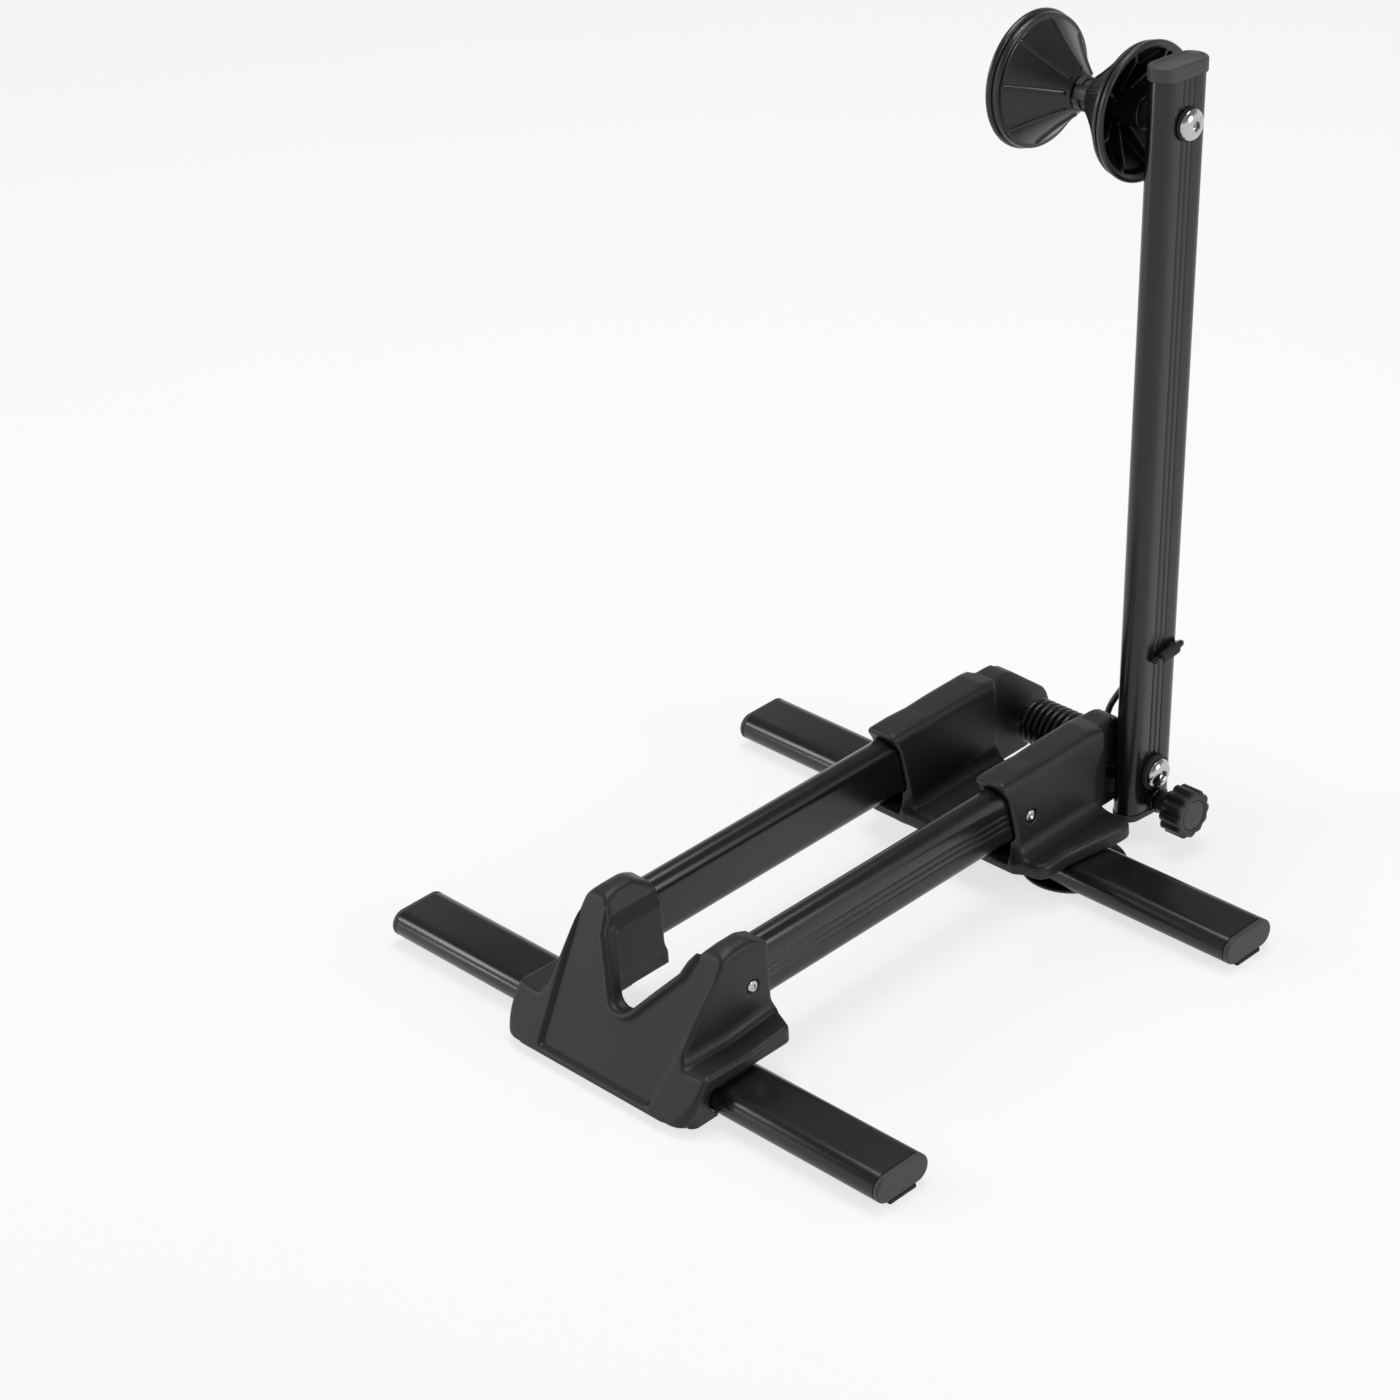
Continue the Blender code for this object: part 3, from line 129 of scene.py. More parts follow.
# %% Shader arithmetic
class Shade:
    """A value that a node gives, with the arithmetic that the finishes use."""

    def __init__(self, graph, socket):
        self.graph, self.socket = graph, socket

    def maths(self, operation, other):
        return self.graph.node("Math", {"operation": operation}, {0: self, 1: other})

    def __add__(self, other):
        return self.maths("ADD", other)

    def __sub__(self, other):
        return self.maths("SUBTRACT", other)

    def __mul__(self, other):
        return self.maths("MULTIPLY", other)

    __radd__ = __add__


class Graph:
    """A tree of shader nodes, and the method that adds any node to it."""

    def __init__(self, tree):
        self.tree = tree

    def node(self, kind, settings=None, inputs=None, output=0):
        """Adds a node, sets its settings, then gives its sockets their values or links."""
        made = self.tree.nodes.new(f"ShaderNode{kind}")
        for key, value in (settings or {}).items():
            setattr(made, key, value)
        for key, value in (inputs or {}).items():
            self.feed(made.inputs[key], value)
        return Shade(self, made.outputs[output])

    def feed(self, socket, value):
        """Links a shade to a socket, or sets the socket's own value."""
        if isinstance(value, Shade):
            self.tree.links.new(value.socket, socket)
        else:
            socket.default_value = value


class Finish(Graph):
    """One material, with the patterns that the finishes share."""

    def __init__(self, name, metallic=0.0, specular=0.5):
        self.material = bpy.data.materials.new(name)
        self.material.use_nodes = True
        super().__init__(self.material.node_tree)
        self.shader = self.tree.nodes["Principled BSDF"]
        self.shader.inputs["Metallic"].default_value = metallic
        self.shader.inputs["Specular IOR Level"].default_value = specular

    def place(self, uv=False):
        """Where the point is: in metres on the model, or along and round the piece's own surface."""
        return self.node("TexCoord", output="UV" if uv else "Object")

    def noise(self, scale, detail=2.0, stretch=None, uv=False, roughness=0.5):
        """Cloudy pattern from 0 to 1, with its scale in spots a metre, stretched along chosen directions."""
        where = self.place(uv)
        if stretch:
            where = self.node("Mapping", inputs={"Vector": where, "Scale": stretch})
        return self.node("TexNoise", inputs={"Vector": where, "Scale": scale, "Detail": detail,
                                             "Roughness": roughness})

    def cells(self, scale):
        """Distance to the nearest of many scattered points, from 0 at a point."""
        return self.node("TexVoronoi", inputs={"Vector": self.place(), "Scale": scale})

    def step(self, value, low, high):
        """0 below low, 1 above high, and smooth between."""
        return self.node("MapRange", {"interpolation_type": "SMOOTHSTEP"},
                         {"Value": value, "From Min": low, "From Max": high})

    def mix(self, share, one, other):
        """Colour between two, by a share from 0 to 1."""
        one, other = ((*c, 1.0) if isinstance(c, tuple) else c for c in (one, other))
        return self.node("Mix", {"data_type": "RGBA"}, {0: share, 6: one, 7: other}, 2)

    def edges(self):
        """Near 1 on outward edges: paler there from rubbing, and partly a painted highlight."""
        return self.step(self.node("NewGeometry", output="Pointiness"), 0.515, 0.60)

    def done(self, colour, roughness, relief=None, height=None, strength=None):
        """Feeds the shader. Relief is a height from 0 to 1, and height its depth in metres."""
        self.feed(self.shader.inputs["Base Color"], colour)
        self.feed(self.shader.inputs["Roughness"], roughness)
        if relief is not None:
            bump = self.node("Bump", inputs={"Height": relief, "Strength": strength, "Distance": height})
            self.feed(self.shader.inputs["Normal"], bump)
        return self.material


print("shader helpers ready")

# %% [markdown]
# ### Anodised tube
#
# The tubes are extruded aluminium, brushed a little by the die and then anodised black. The die leaves very
# fine lines that run along the tube, and these spread its reflections sideways. The lines are a noise on the
# tube's own unrolled surface, squeezed round it and drawn out along it, and kept faint under the anodised
# gloss. Cloudy patches vary the sheen, and a few pale specks of dust lie on it.

# %% Tube finish
def tube_finish():
    """Black anodised aluminium, with die lines along the tube."""
    f = Finish("black_anodised_tube", specular=0.48)
    lines = f.noise(1.0, 2.0, (2600.0, 9.0, 1.0), uv=True)
    cloud = f.noise(38.0, 3.0)
    grain = f.noise(2600.0, 2.0)
    dust = f.step(f.noise(900.0, 2.0), 0.80, 0.84)
    colour = f.mix(cloud, (0.0065, 0.0067, 0.0073), (0.0105, 0.0107, 0.0112))
    colour = f.mix(dust * 0.5, colour, (0.10, 0.10, 0.10))
    rough = 0.18 + lines * 0.05 + cloud * 0.08 + dust * 0.2
    return f.done(colour, rough, lines * 0.12 + grain * 0.88, 0.000004, 0.10)


ANODISED = tube_finish()
print("made", ANODISED.name)

# %% [markdown]
# ### Moulded plastics
#
# The cradle and the housing come from a mould with a fine spark-eroded grain, so they look soft and matte.
# The roller, the foot blocks and the discs come from a smoother mould and shine more. Both are noise at the
# size of the real grain, as relief and as roughness, with broad clouds of tone under it. Edges are found
# from how sharply the surface turns there, and made a little paler and smoother: partly rubbing, partly a
# painted highlight along them.

# %% Plastic finishes
def moulding_finish():
    """Matte black plastic with an eroded grain, and edges paler from rubbing and from a painted highlight."""
    f = Finish("matte_black_moulding", specular=0.34)
    grain = f.noise(2300.0, 3.0, roughness=0.6)
    pits = f.cells(1500.0)
    cloud = f.noise(30.0, 4.0)
    scuff = f.step(f.noise(1.0, 4.0, (30.0, 420.0, 420.0)), 0.66, 0.78)
    wear_and_highlight = f.edges()
    colour = f.mix(cloud, (0.0120, 0.0122, 0.0125), (0.0175, 0.0177, 0.0181))
    # Edges painted paler: partly rubbing by handling, partly a painted highlight.
    colour = f.mix(wear_and_highlight * 0.55, colour, (0.050, 0.050, 0.051))
    colour = f.mix(scuff * 0.25, colour, (0.048, 0.048, 0.048))
    rough = 0.36 + cloud * 0.10 + grain * 0.06 - wear_and_highlight * 0.10
    return f.done(colour, rough, grain * 0.7 + pits * 0.3, 0.00003, 0.45)


def glossy_finish():
    """Black plastic from a polished mould, with a faint orange-peel and handling haze."""
    f = Finish("glossy_black_moulding", specular=0.5)
    peel = f.noise(520.0, 2.0)
    haze = f.noise(45.0, 4.0)
    wear_and_highlight = f.edges()
    colour = f.mix(haze, (0.0075, 0.0076, 0.0080), (0.0125, 0.0126, 0.0130))
    # Edges painted paler: partly rubbing by handling, partly a painted highlight.
    colour = f.mix(wear_and_highlight * 0.45, colour, (0.036, 0.036, 0.037))
    rough = 0.24 + haze * 0.14
    return f.done(colour, rough, peel, 0.00004, 0.35)


def cap_finish():
    """Dark grey end caps, paler than the tubes, with a fine even grain."""
    f = Finish("dark_grey_cap", specular=0.45)
    grain = f.noise(2800.0, 3.0, roughness=0.6)
    cloud = f.noise(70.0, 3.0)
    wear_and_highlight = f.edges()
    colour = f.mix(cloud, (0.034, 0.034, 0.0345), (0.045, 0.045, 0.0455))
    # Edges painted paler: partly rubbing by handling, partly a painted highlight.
    colour = f.mix(wear_and_highlight * 0.5, colour, (0.075, 0.075, 0.075))
    return f.done(colour, 0.46 + cloud * 0.12, grain, 0.00003, 0.5)


def rubber_finish():
    """Black rubber, dull and slightly dusty."""
    f = Finish("black_rubber", specular=0.3)
    grain = f.noise(1500.0, 3.0, roughness=0.65)
    dust = f.step(f.noise(60.0, 4.0), 0.50, 0.75)
    colour = f.mix(dust * 0.6, (0.032, 0.032, 0.032), (0.052, 0.052, 0.051))
    return f.done(colour, 0.74 + grain * 0.14, grain, 0.00006, 0.6)


MOULDED, GLOSSY, CAP, RUBBER = moulding_finish(), glossy_finish(), cap_finish(), rubber_finish()
print("made", MOULDED.name, GLOSSY.name, CAP.name, RUBBER.name)

# %% [markdown]
# ### Metals
#
# The bolts are polished stainless steel, which is bright only where it sees something bright. The hidden
# spacers and the stud are zinc plated and duller. The spring's wire is blackened, with drawing lines along
# it. The three differ in how much of the pattern is brushed and how deep it is.

# %% Metal finishes
def stainless_finish():
    """Polished stainless steel with fine turning marks and a few scratches."""
    f = Finish("stainless_steel", metallic=1.0)
    marks = f.noise(1.0, 2.0, (300.0, 7000.0, 1.0), uv=True)
    scratch = f.step(f.noise(1.0, 2.0, (900.0, 9000.0, 900.0)), 0.62, 0.72)
    colour = f.mix(marks, (0.44, 0.44, 0.45), (0.58, 0.58, 0.59))
    return f.done(colour, 0.09 + marks * 0.07 + scratch * 0.12, marks + scratch * 0.4, 0.000006, 0.35)


def zinc_finish():
    """Zinc-plated steel, with the soft spangle of the plating."""
    f = Finish("zinc_steel", metallic=1.0)
    spangle = f.cells(700.0)
    cloud = f.noise(180.0, 3.0)
    colour = f.mix(cloud, (0.33, 0.33, 0.34), (0.50, 0.50, 0.51))
    return f.done(colour, 0.28 + spangle * 0.16, spangle, 0.000008, 0.3)


def black_steel_finish():
    """Blackened steel with drawing lines along the wire and a rubbed sheen."""
    f = Finish("black_steel", metallic=0.35, specular=0.55)
    lines = f.noise(1.0, 3.0, (240.0, 5200.0, 1.0), uv=True)
    cloud = f.noise(120.0, 3.0)
    colour = f.mix(cloud, (0.010, 0.010, 0.0105), (0.022, 0.022, 0.022))
    return f.done(colour, 0.20 + lines * 0.12 + cloud * 0.06, lines, 0.000012, 0.4)


STAINLESS, ZINC, BLACK_STEEL = stainless_finish(), zinc_finish(), black_steel_finish()
print("made", STAINLESS.name, ZINC.name, BLACK_STEEL.name)

# %% [markdown]
# ## From rings of points to a piece
#
# Most pieces are a row of rings: a tube is one outline carried along, a bolt is circles whose radius changes.
# An array holds the rings, and the faces between neighbouring rings come from arithmetic on the numbers of
# the points. The same grid gives each face its place on the unrolled surface, in metres, for the brushed
# finishes. A piece that stands for a solid rides on that solid's body and takes its name.

# %% Rings to mesh
def skin(rings, wrap=False):
    """Points and faces of rings[i, j]: point j of ring i. Each face joins ring i to ring i + 1.

    With wrap the last ring joins the first, as in the wall of a tube. Without it each end closes on a point
    at the middle of its ring. The unrolled place of a corner is how far round and how far along it lies."""
    rings = np.asarray(rings, float)
    n, m = rings.shape[:2]
    i = np.arange(n if wrap else n - 1)[:, None]
    j = np.arange(m)[None]
    right, above = (j + 1) % m, (i + 1) % n
    quads = np.stack([i * m + j, i * m + right, above * m + right, above * m + j], -1).reshape(-1, 4)
    hop = np.linalg.norm(np.roll(rings, -1, 1) - rings, axis=-1).mean(0)
    round_it = np.concatenate([[0.0], np.cumsum(hop)])
    rise = np.linalg.norm(np.roll(rings, -1, 0) - rings, axis=-1).mean(1)
    along = np.concatenate([[0.0], np.cumsum(rise)])
    corner = np.stack(np.broadcast_arrays(j, j + 1, j + 1, j, i, i, i + 1, i + 1), -1).reshape(-1, 2, 4)
    uv = np.stack([round_it[corner[:, 0]], along[corner[:, 1]]], -1) * MM
    points = rings.reshape(-1, 3)
    faces, marks = quads.tolist(), uv.reshape(-1, 2)
    if not wrap:
        points = np.concatenate([points, rings[[0, -1]].mean(1)])
        k = np.arange(m)
        low = np.stack([(k + 1) % m, k, np.full(m, n * m)], -1)
        high = np.stack([k + (n - 1) * m, (k + 1) % m + (n - 1) * m, np.full(m, n * m + 1)], -1)
        faces = faces + low.tolist() + high.tolist()
        fan = np.concatenate([points[low.ravel()], points[high.ravel()]])
        marks = np.concatenate([marks, fan[:, [0, 1]] * MM])
    return points, faces, marks


def piece(node, parts, finish, place=on_stand, sharp=38.0):
    """One object from several (points, faces, unrolled places).

    It takes its finish and its shading, replaces the solid of that name and rides on the solid's body."""
    shift, points, faces, marks = 0, [], [], []
    for spots, quads, uv in parts:
        points.append(spots)
        faces += [[v + shift for v in face] for face in quads]
        marks.append(uv)
        shift += len(spots)
    mesh = bpy.data.meshes.new(f"{node}_finished")
    mesh.from_pydata(place(np.concatenate(points)).tolist(), [], faces)
    unrolled = np.concatenate(marks).astype(np.float32)
    mesh.uv_layers.new(name="unrolled").data.foreach_set("uv", unrolled.ravel())
    build = bmesh.new()
    build.from_mesh(mesh)
    bmesh.ops.remove_doubles(build, verts=build.verts[:], dist=2e-6)
    bmesh.ops.dissolve_degenerate(build, edges=build.edges[:], dist=1e-6)
    bmesh.ops.recalc_face_normals(build, faces=build.faces[:])
    build.to_mesh(mesh)
    build.free()
    mesh.materials.append(finish)
    mesh.shade_smooth()
    mesh.set_sharp_from_angle(angle=math.radians(sharp))
    made = bpy.data.objects.new(f"{node}_finished", mesh)
    bpy.context.scene.collection.objects.link(made)
    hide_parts(node)
    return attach(made, body_of_node[node])


ROUND = 72


def circle(radius, count=ROUND):
    """Round outline. The radius may be one number or one for each point."""
    t = np.arange(count) * 2 * np.pi / count
    return np.stack([radius * np.cos(t), radius * np.sin(t)], -1)


def spun(profile, side=1.0, count=ROUND, wrap=False):
    """Rings along X from (along, radius) pairs. A ready outline may stand in a radius's place."""
    rings = [(a, circle(r, count) if np.ndim(r) < 2 else r) for a, r in profile]
    return skin([np.column_stack([np.full(len(o), side * a), o]) for a, o in rings], wrap)


print("ring helpers ready")

# %% [markdown]
# ## Tubes
#
# The rails, post and feet are one kind of tube: flat faces, half-round sides and, on the rails and the post,
# three narrow grooves down the outer face. The outline is worked out once, with two extra points beside each
# bend so that the flats stay flat when they are shaded. Going out along the outer outline and back along the
# inner one makes the wall, and the outline shrinks a little at each end for a deburred edge.

# %% Tube outline
TUBE_WIDTH, TUBE_THICK, TUBE_WALL, TUBE_STEPS = 36.0, 15.5, 2.0, 24
GROOVE_PITCH, GROOVE_DEEP = 4.0, 0.6
FLAT = (TUBE_WIDTH - TUBE_THICK) / 2


def obround(grow=0.0, grooves=0, steps=TUBE_STEPS):
    """Outline of the tube, (across, through): half circles joined by flats, with V grooves on the + flat.

    Grow moves the whole outline outwards."""
    r, near_bend = TUBE_THICK / 2 + grow, FLAT - 0.5
    t = np.radians(np.linspace(-90.0, 90.0, steps + 1))
    right = np.stack([FLAT + r * np.cos(t), r * np.sin(t)], -1)
    middles = GROOVE_PITCH * (np.arange(grooves - 1, -1, -1) - (grooves - 1) / 2)
    falling = np.array([[0.75, 0.0], [0.6, -0.03], [0.08, -GROOVE_DEEP]])
    vee = np.concatenate([falling, falling[::-1] * [-1.0, 1.0]])
    cut = (middles[:, None, None] * [1.0, 0.0] + vee + [0.0, r]).reshape(-1, 2)
    return np.concatenate([[[0.0, -r], [near_bend, -r]], right, [[near_bend, r]], cut,
                           [[-near_bend, r]], -right, [[-near_bend, -r]]])


def tube(low, high, grooves=0):
    """Wall of a tube as rings of (across, through, along). Low may differ from point to point."""
    rings = []
    for inset, wall in ((0.0, 0.0), (TUBE_WALL, 1.0)):
        ends = [(low, 0.0, -1.0), (low, 0.12, -0.12), (low, 0.45, 0.0), (high, -0.45, 0.0),
                (high, -0.12, -0.12), (high, 0.0, -1.0)]
        for end, off, trim in ends[::-1] if wall else ends:
            shrink = 0.4 * trim * (1.0 - 2.0 * wall)
            grow = shrink * (1.0 if abs(trim) < 1 else 0.8) - inset
            outline = obround(grow, 0 if wall else grooves)
            # Inside a grooved wall, points on the flat match the grooves' points one to one.
            if wall and grooves:
                inner, flat = obround(shrink - inset), np.zeros((grooves * 6, 2))
                at = 2 + TUBE_STEPS + 2
                flat[:, 1] = inner[at - 1, 1]
                flat[:, 0] = np.linspace(inner[at - 1, 0], inner[at, 0], grooves * 6 + 2)[1:-1]
                outline = np.concatenate([inner[:at], flat, inner[at:]])
            along = (end(outline[:, 0]) if callable(end) else end) + off
            rings.append(np.column_stack([outline, np.broadcast_to(along, len(outline))]))
    return np.array(rings)


print("tube outline of", len(obround(grooves=3)), "points")

# %% [markdown]
# The rails run along Y between the cradle and the housing, grooves outwards. The post is the same tube stood
# up, on the right only. The inner end of a foot is cut to a half circle seen from above, so that it can turn
# about its pivot: each line of the foot starts where that round cut crosses it.

# %% Rails, post and feet
SIDES = {"left": -1.0, "right": 1.0}
RAIL_X, RAIL_Z, RAIL_ENDS = 38.9, 50.4, (12.0, 262.0)
POST_X, POST_ENDS, GROOVES = 52.55, (-22.5, 388.0), 3
FOOT_Z, FOOT_X, FOOT_SPAN, FOOT_REACH, FOOT_END = 10.05, 50.0, 260.7, 126.6, 123.3
FOOT_Y = {"front": 0.0, "rear": FOOT_SPAN}


def as_foot(rings, side, y):
    """Rings of the outline laid out sideways from a foot's pivot."""
    a, b, c = np.moveaxis(rings, -1, 0)
    return np.stack([side * (FOOT_X + c), y + a, FOOT_Z + b], -1)


def as_post(rings):
    """Rings of the outline stood up at the post."""
    a, b, c = np.moveaxis(rings, -1, 0)
    return np.stack([POST_X + b, a, c], -1)


def round_start(across):
    """How far before its pivot a line of the foot starts."""
    return -np.sqrt(np.maximum((TUBE_WIDTH / 2) ** 2 - across ** 2, 0.0))


for word, side in SIDES.items():
    a, b, c = np.moveaxis(tube(*RAIL_ENDS, GROOVES), -1, 0)
    rail = np.stack([side * (RAIL_X + b), c, RAIL_Z + a], -1)
    piece(f"rail_{word}", [skin(rail, True)], ANODISED)
    for where, y in FOOT_Y.items():
        rings = tube(round_start, FOOT_END)
        rings[..., 2] = np.minimum(rings[..., 2], FOOT_END)
        piece(f"foot_{where}_{word}", [skin(as_foot(rings, side, y), True)], ANODISED)
piece("post", [skin(as_post(tube(*POST_ENDS, GROOVES)), True)], ANODISED, on_post)
print("rails, post and feet made")

# %% [markdown]
# ## Caps, pads and pivots of the feet
#
# Each foot ends in a grey plastic cap: a plug inside the tube, a narrow shadow gap, and a face with a
# rounded rim. Under it lies a thin rubber pad, and under the inner end a low disc with the pin that the foot
# turns on. A cap is the tube's outline again, shrunk ring by ring, and a disc is circles.

# %% Feet fittings
def rim(reach, size, steps=6):
    """Rounded edge as (along, inset) pairs: a quarter circle of the given size ending at reach."""
    t = np.linspace(0.0, np.pi / 2, steps + 1)
    return list(zip(reach - size + size * np.sin(t), size * (1.0 - np.cos(t))))


def cap(stations):
    """Rings of the tube's outline, (along, inset), as (across, through, along)."""
    outlines = [(obround(-inset, steps=CAP_STEPS), along) for along, inset in stations]
    return np.array([np.column_stack([o, np.full(len(o), along)]) for o, along in outlines])


def pad():
    """Rounded rectangles stacked from the floor, with a rounded upper edge, out from a foot's pivot."""
    t = np.radians(np.arange(0.0, 360.0, 10.0) + 5.0)
    middle, reach = (PAD_LOW + PAD_HIGH) / 2, (PAD_HIGH - PAD_LOW) / 2
    rings = []
    for z, inset in ((0.0, 0.3), (0.3, 0.0), (PAD_THICK - PAD_EDGE, 0.0),
                     (PAD_THICK - PAD_EDGE * 0.3, PAD_EDGE * 0.3), (PAD_THICK, PAD_EDGE)):
        r = PAD_CORNER - inset
        x = middle + np.sign(np.cos(t)) * (reach - PAD_CORNER) + r * np.cos(t)
        y = np.sign(np.sin(t)) * (PAD_HALF - PAD_CORNER) + r * np.sin(t)
        rings.append(np.column_stack([x, y, np.full(len(t), z)]))
    return np.array(rings)


def upright(profile, middle, count):
    """Rings about Z from (height, radius) pairs."""
    return skin([np.column_stack([circle(r, count) + middle, np.full(count, h)]) for h, r in profile])


CAP_RIM, CAP_STEPS, PIN_R = 1.26, 28, 5.5
PAD_LOW, PAD_HIGH, PAD_HALF, PAD_THICK, PAD_CORNER, PAD_EDGE = 65.1, 126.5, 9.3, 2.0, 0.9, 0.25
# Each disc's radius, and how far behind the foot's pivot its middle lies.
PIVOT_DISCS = {"front": (9.0, 0.0), "rear": (29.0, 9.0)}
# The plug in the tube and the shadow gap, as (along, inset) pairs.
plug = [(111.6, 2.6), (111.9, 2.3), (123.6, 2.3), (123.6, 0.35), (123.75, 0.1), (124.0, 0.0)]
for word, side in SIDES.items():
    for where, y in FOOT_Y.items():
        rings = cap(plug + rim(FOOT_REACH, CAP_RIM) + [(FOOT_REACH, 3.0)])
        piece(f"foot_cap_{where}_{word}", [skin(as_foot(rings, side, y))], CAP)
        rings = pad() * [side, 1.0, 1.0] + [side * FOOT_X, y, 0.0]
        piece(f"foot_pad_{where}_{word}", [skin(rings)], RUBBER)
        head, back = PIVOT_DISCS[where]
        disc = upright([(0.3, head - 3.0), (0.3, head - 0.9), (0.42, head - 0.35), (0.85, head), (1.6, head),
                        (1.9, head - 0.12), (2.0, head - 0.45), (2.0, head - 3.0)],
                       (side * FOOT_X, y + back), 96)
        pin = upright([(0.6, PIN_R), (22.6, PIN_R), (23.2, PIN_R - 0.6)], (side * FOOT_X, y), 48)
        piece(f"foot_pivot_{where}_{word}", [disc, pin], GLOSSY)
print("caps, pads and pivots made")

# %% [markdown]
# ## Caps, shafts, spacers and bolts of the post
#
# A thick grey cap stands proud on the post, dished on top, and a thinner one closes its foot. Shafts run
# across at the pivot and at the roller, and a button-head bolt with a hexagon socket closes each end: on the
# post at the right, and on the housing's lug and the roller's hub at the left. A bolt is circles that follow
# a dome up to the socket, where the ring turns into a hexagon and goes down again.

# %% Post fittings
SEAT, SHAFT_R, SHAFT_BORE, BOLT_BORE, BOLT_LONG = 0.3, 5.0, 5.3, 3.3, 12.0
# Bolts: radius and height of the head, radius and length of the shank, width and depth of the socket.
AXLE_BOLT = (8.4, 4.5, 3.0, BOLT_LONG, 5.0, 2.2)
RAIL_SCREW = (3.3, 1.25, 1.9, 6.0, 2.6, 0.6)
POST_OUT, POST_IN = POST_X + TUBE_THICK / 2, POST_X - TUBE_THICK / 2
ROLLER_X, ROLLER_AT, LUG_OUT, HUB_END = -3.4, 364.5, 44.5, 42.2
TOP_CAP, FOOT_CAP_END = 395.8, -25.74
# Each axle: its node and its bush's, its height, where it ends on the left, its washers' depth and radius.
AXLES = {"pivot": ("pivot_shaft", "pivot_spacer", 0.0, LUG_OUT, 2.6, 10.0),
         "roller": ("roller_axle", "roller_post_spacer", ROLLER_AT, HUB_END, 1.2, 8.9)}


def hexagon(flats, soft=0.0, grow=0.0):
    """Ring of a hexagon, its corners eased towards a circle and all of it moved outwards by grow."""
    t = np.arange(ROUND) * 2 * np.pi / ROUND
    sharp = flats / 2 / np.cos((t + np.pi / 6) % (np.pi / 3) - np.pi / 6)
    return circle(sharp * (1.0 - soft) + soft * flats / 2 + grow)


def ring_part(inner, outer, low, high, edge=0.25, side=1.0, count=64):
    """Bush, washer or sleeve along X, with eased edges: out along the bore and back along the outside."""
    ease = edge * 0.3
    near = [(low, inner + edge), (low, outer - edge), (low + ease, outer - ease), (low + edge, outer)]
    far = [(high - edge, outer), (high - ease, outer - ease), (high, outer - edge),
           (high, inner + edge), (high - edge, inner), (low + edge, inner)]
    return spun(near + far, side, count, True)


def lifted(part, height):
    """The same part, raised along the post."""
    return (part[0] + [0.0, 0.0, height], *part[1:])


def bolt(seat, head_r, head, shank_r, shank, socket, depth, side):
    """Button-head bolt along X: shank, flat seat, dome, then a hexagon socket."""
    dome = [(seat + 0.5 + (head - 0.5) * math.sin(t), head_r * math.cos(t) ** 0.92)
            for t in np.radians(np.linspace(0.0, 64.0, 12))]
    top = dome[-1][0]
    well = [(top + 0.02, hexagon(socket, 0.25, 0.25)), (top - 0.15, hexagon(socket)),
            (top - depth, hexagon(socket)), (top - depth - 0.4, hexagon(socket * 0.55))]
    profile = [(seat - shank, shank_r - 0.4), (seat - shank + 0.4, shank_r), (seat, shank_r),
               (seat, head_r - 0.3), (seat + 0.15, head_r)] + dome + well
    return spun(profile, side)


stations = [(TOP_CAP - 19.5, 2.6), (TOP_CAP - 19.0, 2.3), (TOP_CAP - 7.5, 2.3), (TOP_CAP - 7.5, -0.7),
            (TOP_CAP - 7.3, -1.0)] + [(along, inset - 1.0) for along, inset in rim(TOP_CAP, 1.5)]
stations += [(TOP_CAP, 1.0), (TOP_CAP - 0.2, 1.35), (TOP_CAP - 0.8, 1.9), (TOP_CAP - 1.0, 2.6)]
piece("post_top_cap", [skin(as_post(cap(stations)))], CAP, on_post)
stations = [(-19.8, 2.6), (-20.1, 2.3), (-22.8, 2.3), (-22.8, 0.0), (-23.0, -0.3), (-25.5, -0.3)]
stations += [(FOOT_CAP_END - CAP_RIM * math.sin(t), -0.3 + CAP_RIM * (1 - math.cos(t)))
             for t in np.linspace(0.0, np.pi / 2, 7)]
piece("post_foot_cap", [skin(as_post(cap(stations)))], CAP, on_post)
for name, (shaft, bush, height, left_end, washer, washer_r) in AXLES.items():
    for word, side in SIDES.items():
        face = (POST_OUT if side > 0 else left_end) + SEAT
        part = ring_part(BOLT_BORE, washer_r, face, face + washer, 0.3, side)
        piece(f"{name}_washer_{word}", [lifted(part, height)], RUBBER, on_post)
        part = bolt(face + washer + SEAT, *AXLE_BOLT, side)
        piece(f"{name}_bolt_{word}", [lifted(part, height)], STAINLESS, on_post, 30.0)
    left, right, deep = left_end - 0.4, POST_OUT - 0.4, BOLT_LONG + 0.4
    bored = [(deep - left, BOLT_BORE), (-left, BOLT_BORE), (-left, SHAFT_R - 0.3), (0.3 - left, SHAFT_R),
             (right - 0.3, SHAFT_R), (right, SHAFT_R - 0.3), (right, BOLT_BORE), (right - deep, BOLT_BORE)]
    piece(shaft, [lifted(spun(bored), height)], ZINC, on_post)
    inside = TUBE_WALL + SEAT
    part = ring_part(SHAFT_BORE, 7.3, POST_IN + inside, POST_OUT - inside, 0.2)
    piece(bush, [lifted(part, height)], ZINC, on_post)
print("post fittings made")

# %% [markdown]
# ## Lock knob
#
# The knob below the pivot's bolt clamps the post at any lean. Its grip has twelve lobes, its neck flares
# towards it, and a plain disc is set into its face. The lobes are a radius that dips twelve times round the
# ring. Behind it a hexagon collar sits on the post, and a threaded stud runs through both.

# %% Knob, collar and stud
KNOB_AT, KNOB_FACE, KNOB_DEEP, NECK_LONG, KNOB_COUNT = -16.0, 89.5, 13.5, 9.2, 240
KNOB_R, KNOB_EDGE, FLUTES, FLUTE_DEEP = 13.85, 1.7, 12, 1.5


def fluted(size, share=1.0):
    """Ring round the grip: narrow flutes, their depth shrunk to a share, with full lobes between."""
    t = np.arange(KNOB_COUNT) * 2 * np.pi / KNOB_COUNT
    return circle(size - FLUTE_DEEP * share * (0.5 - 0.5 * np.cos(FLUTES * t)) ** 1.5, KNOB_COUNT)


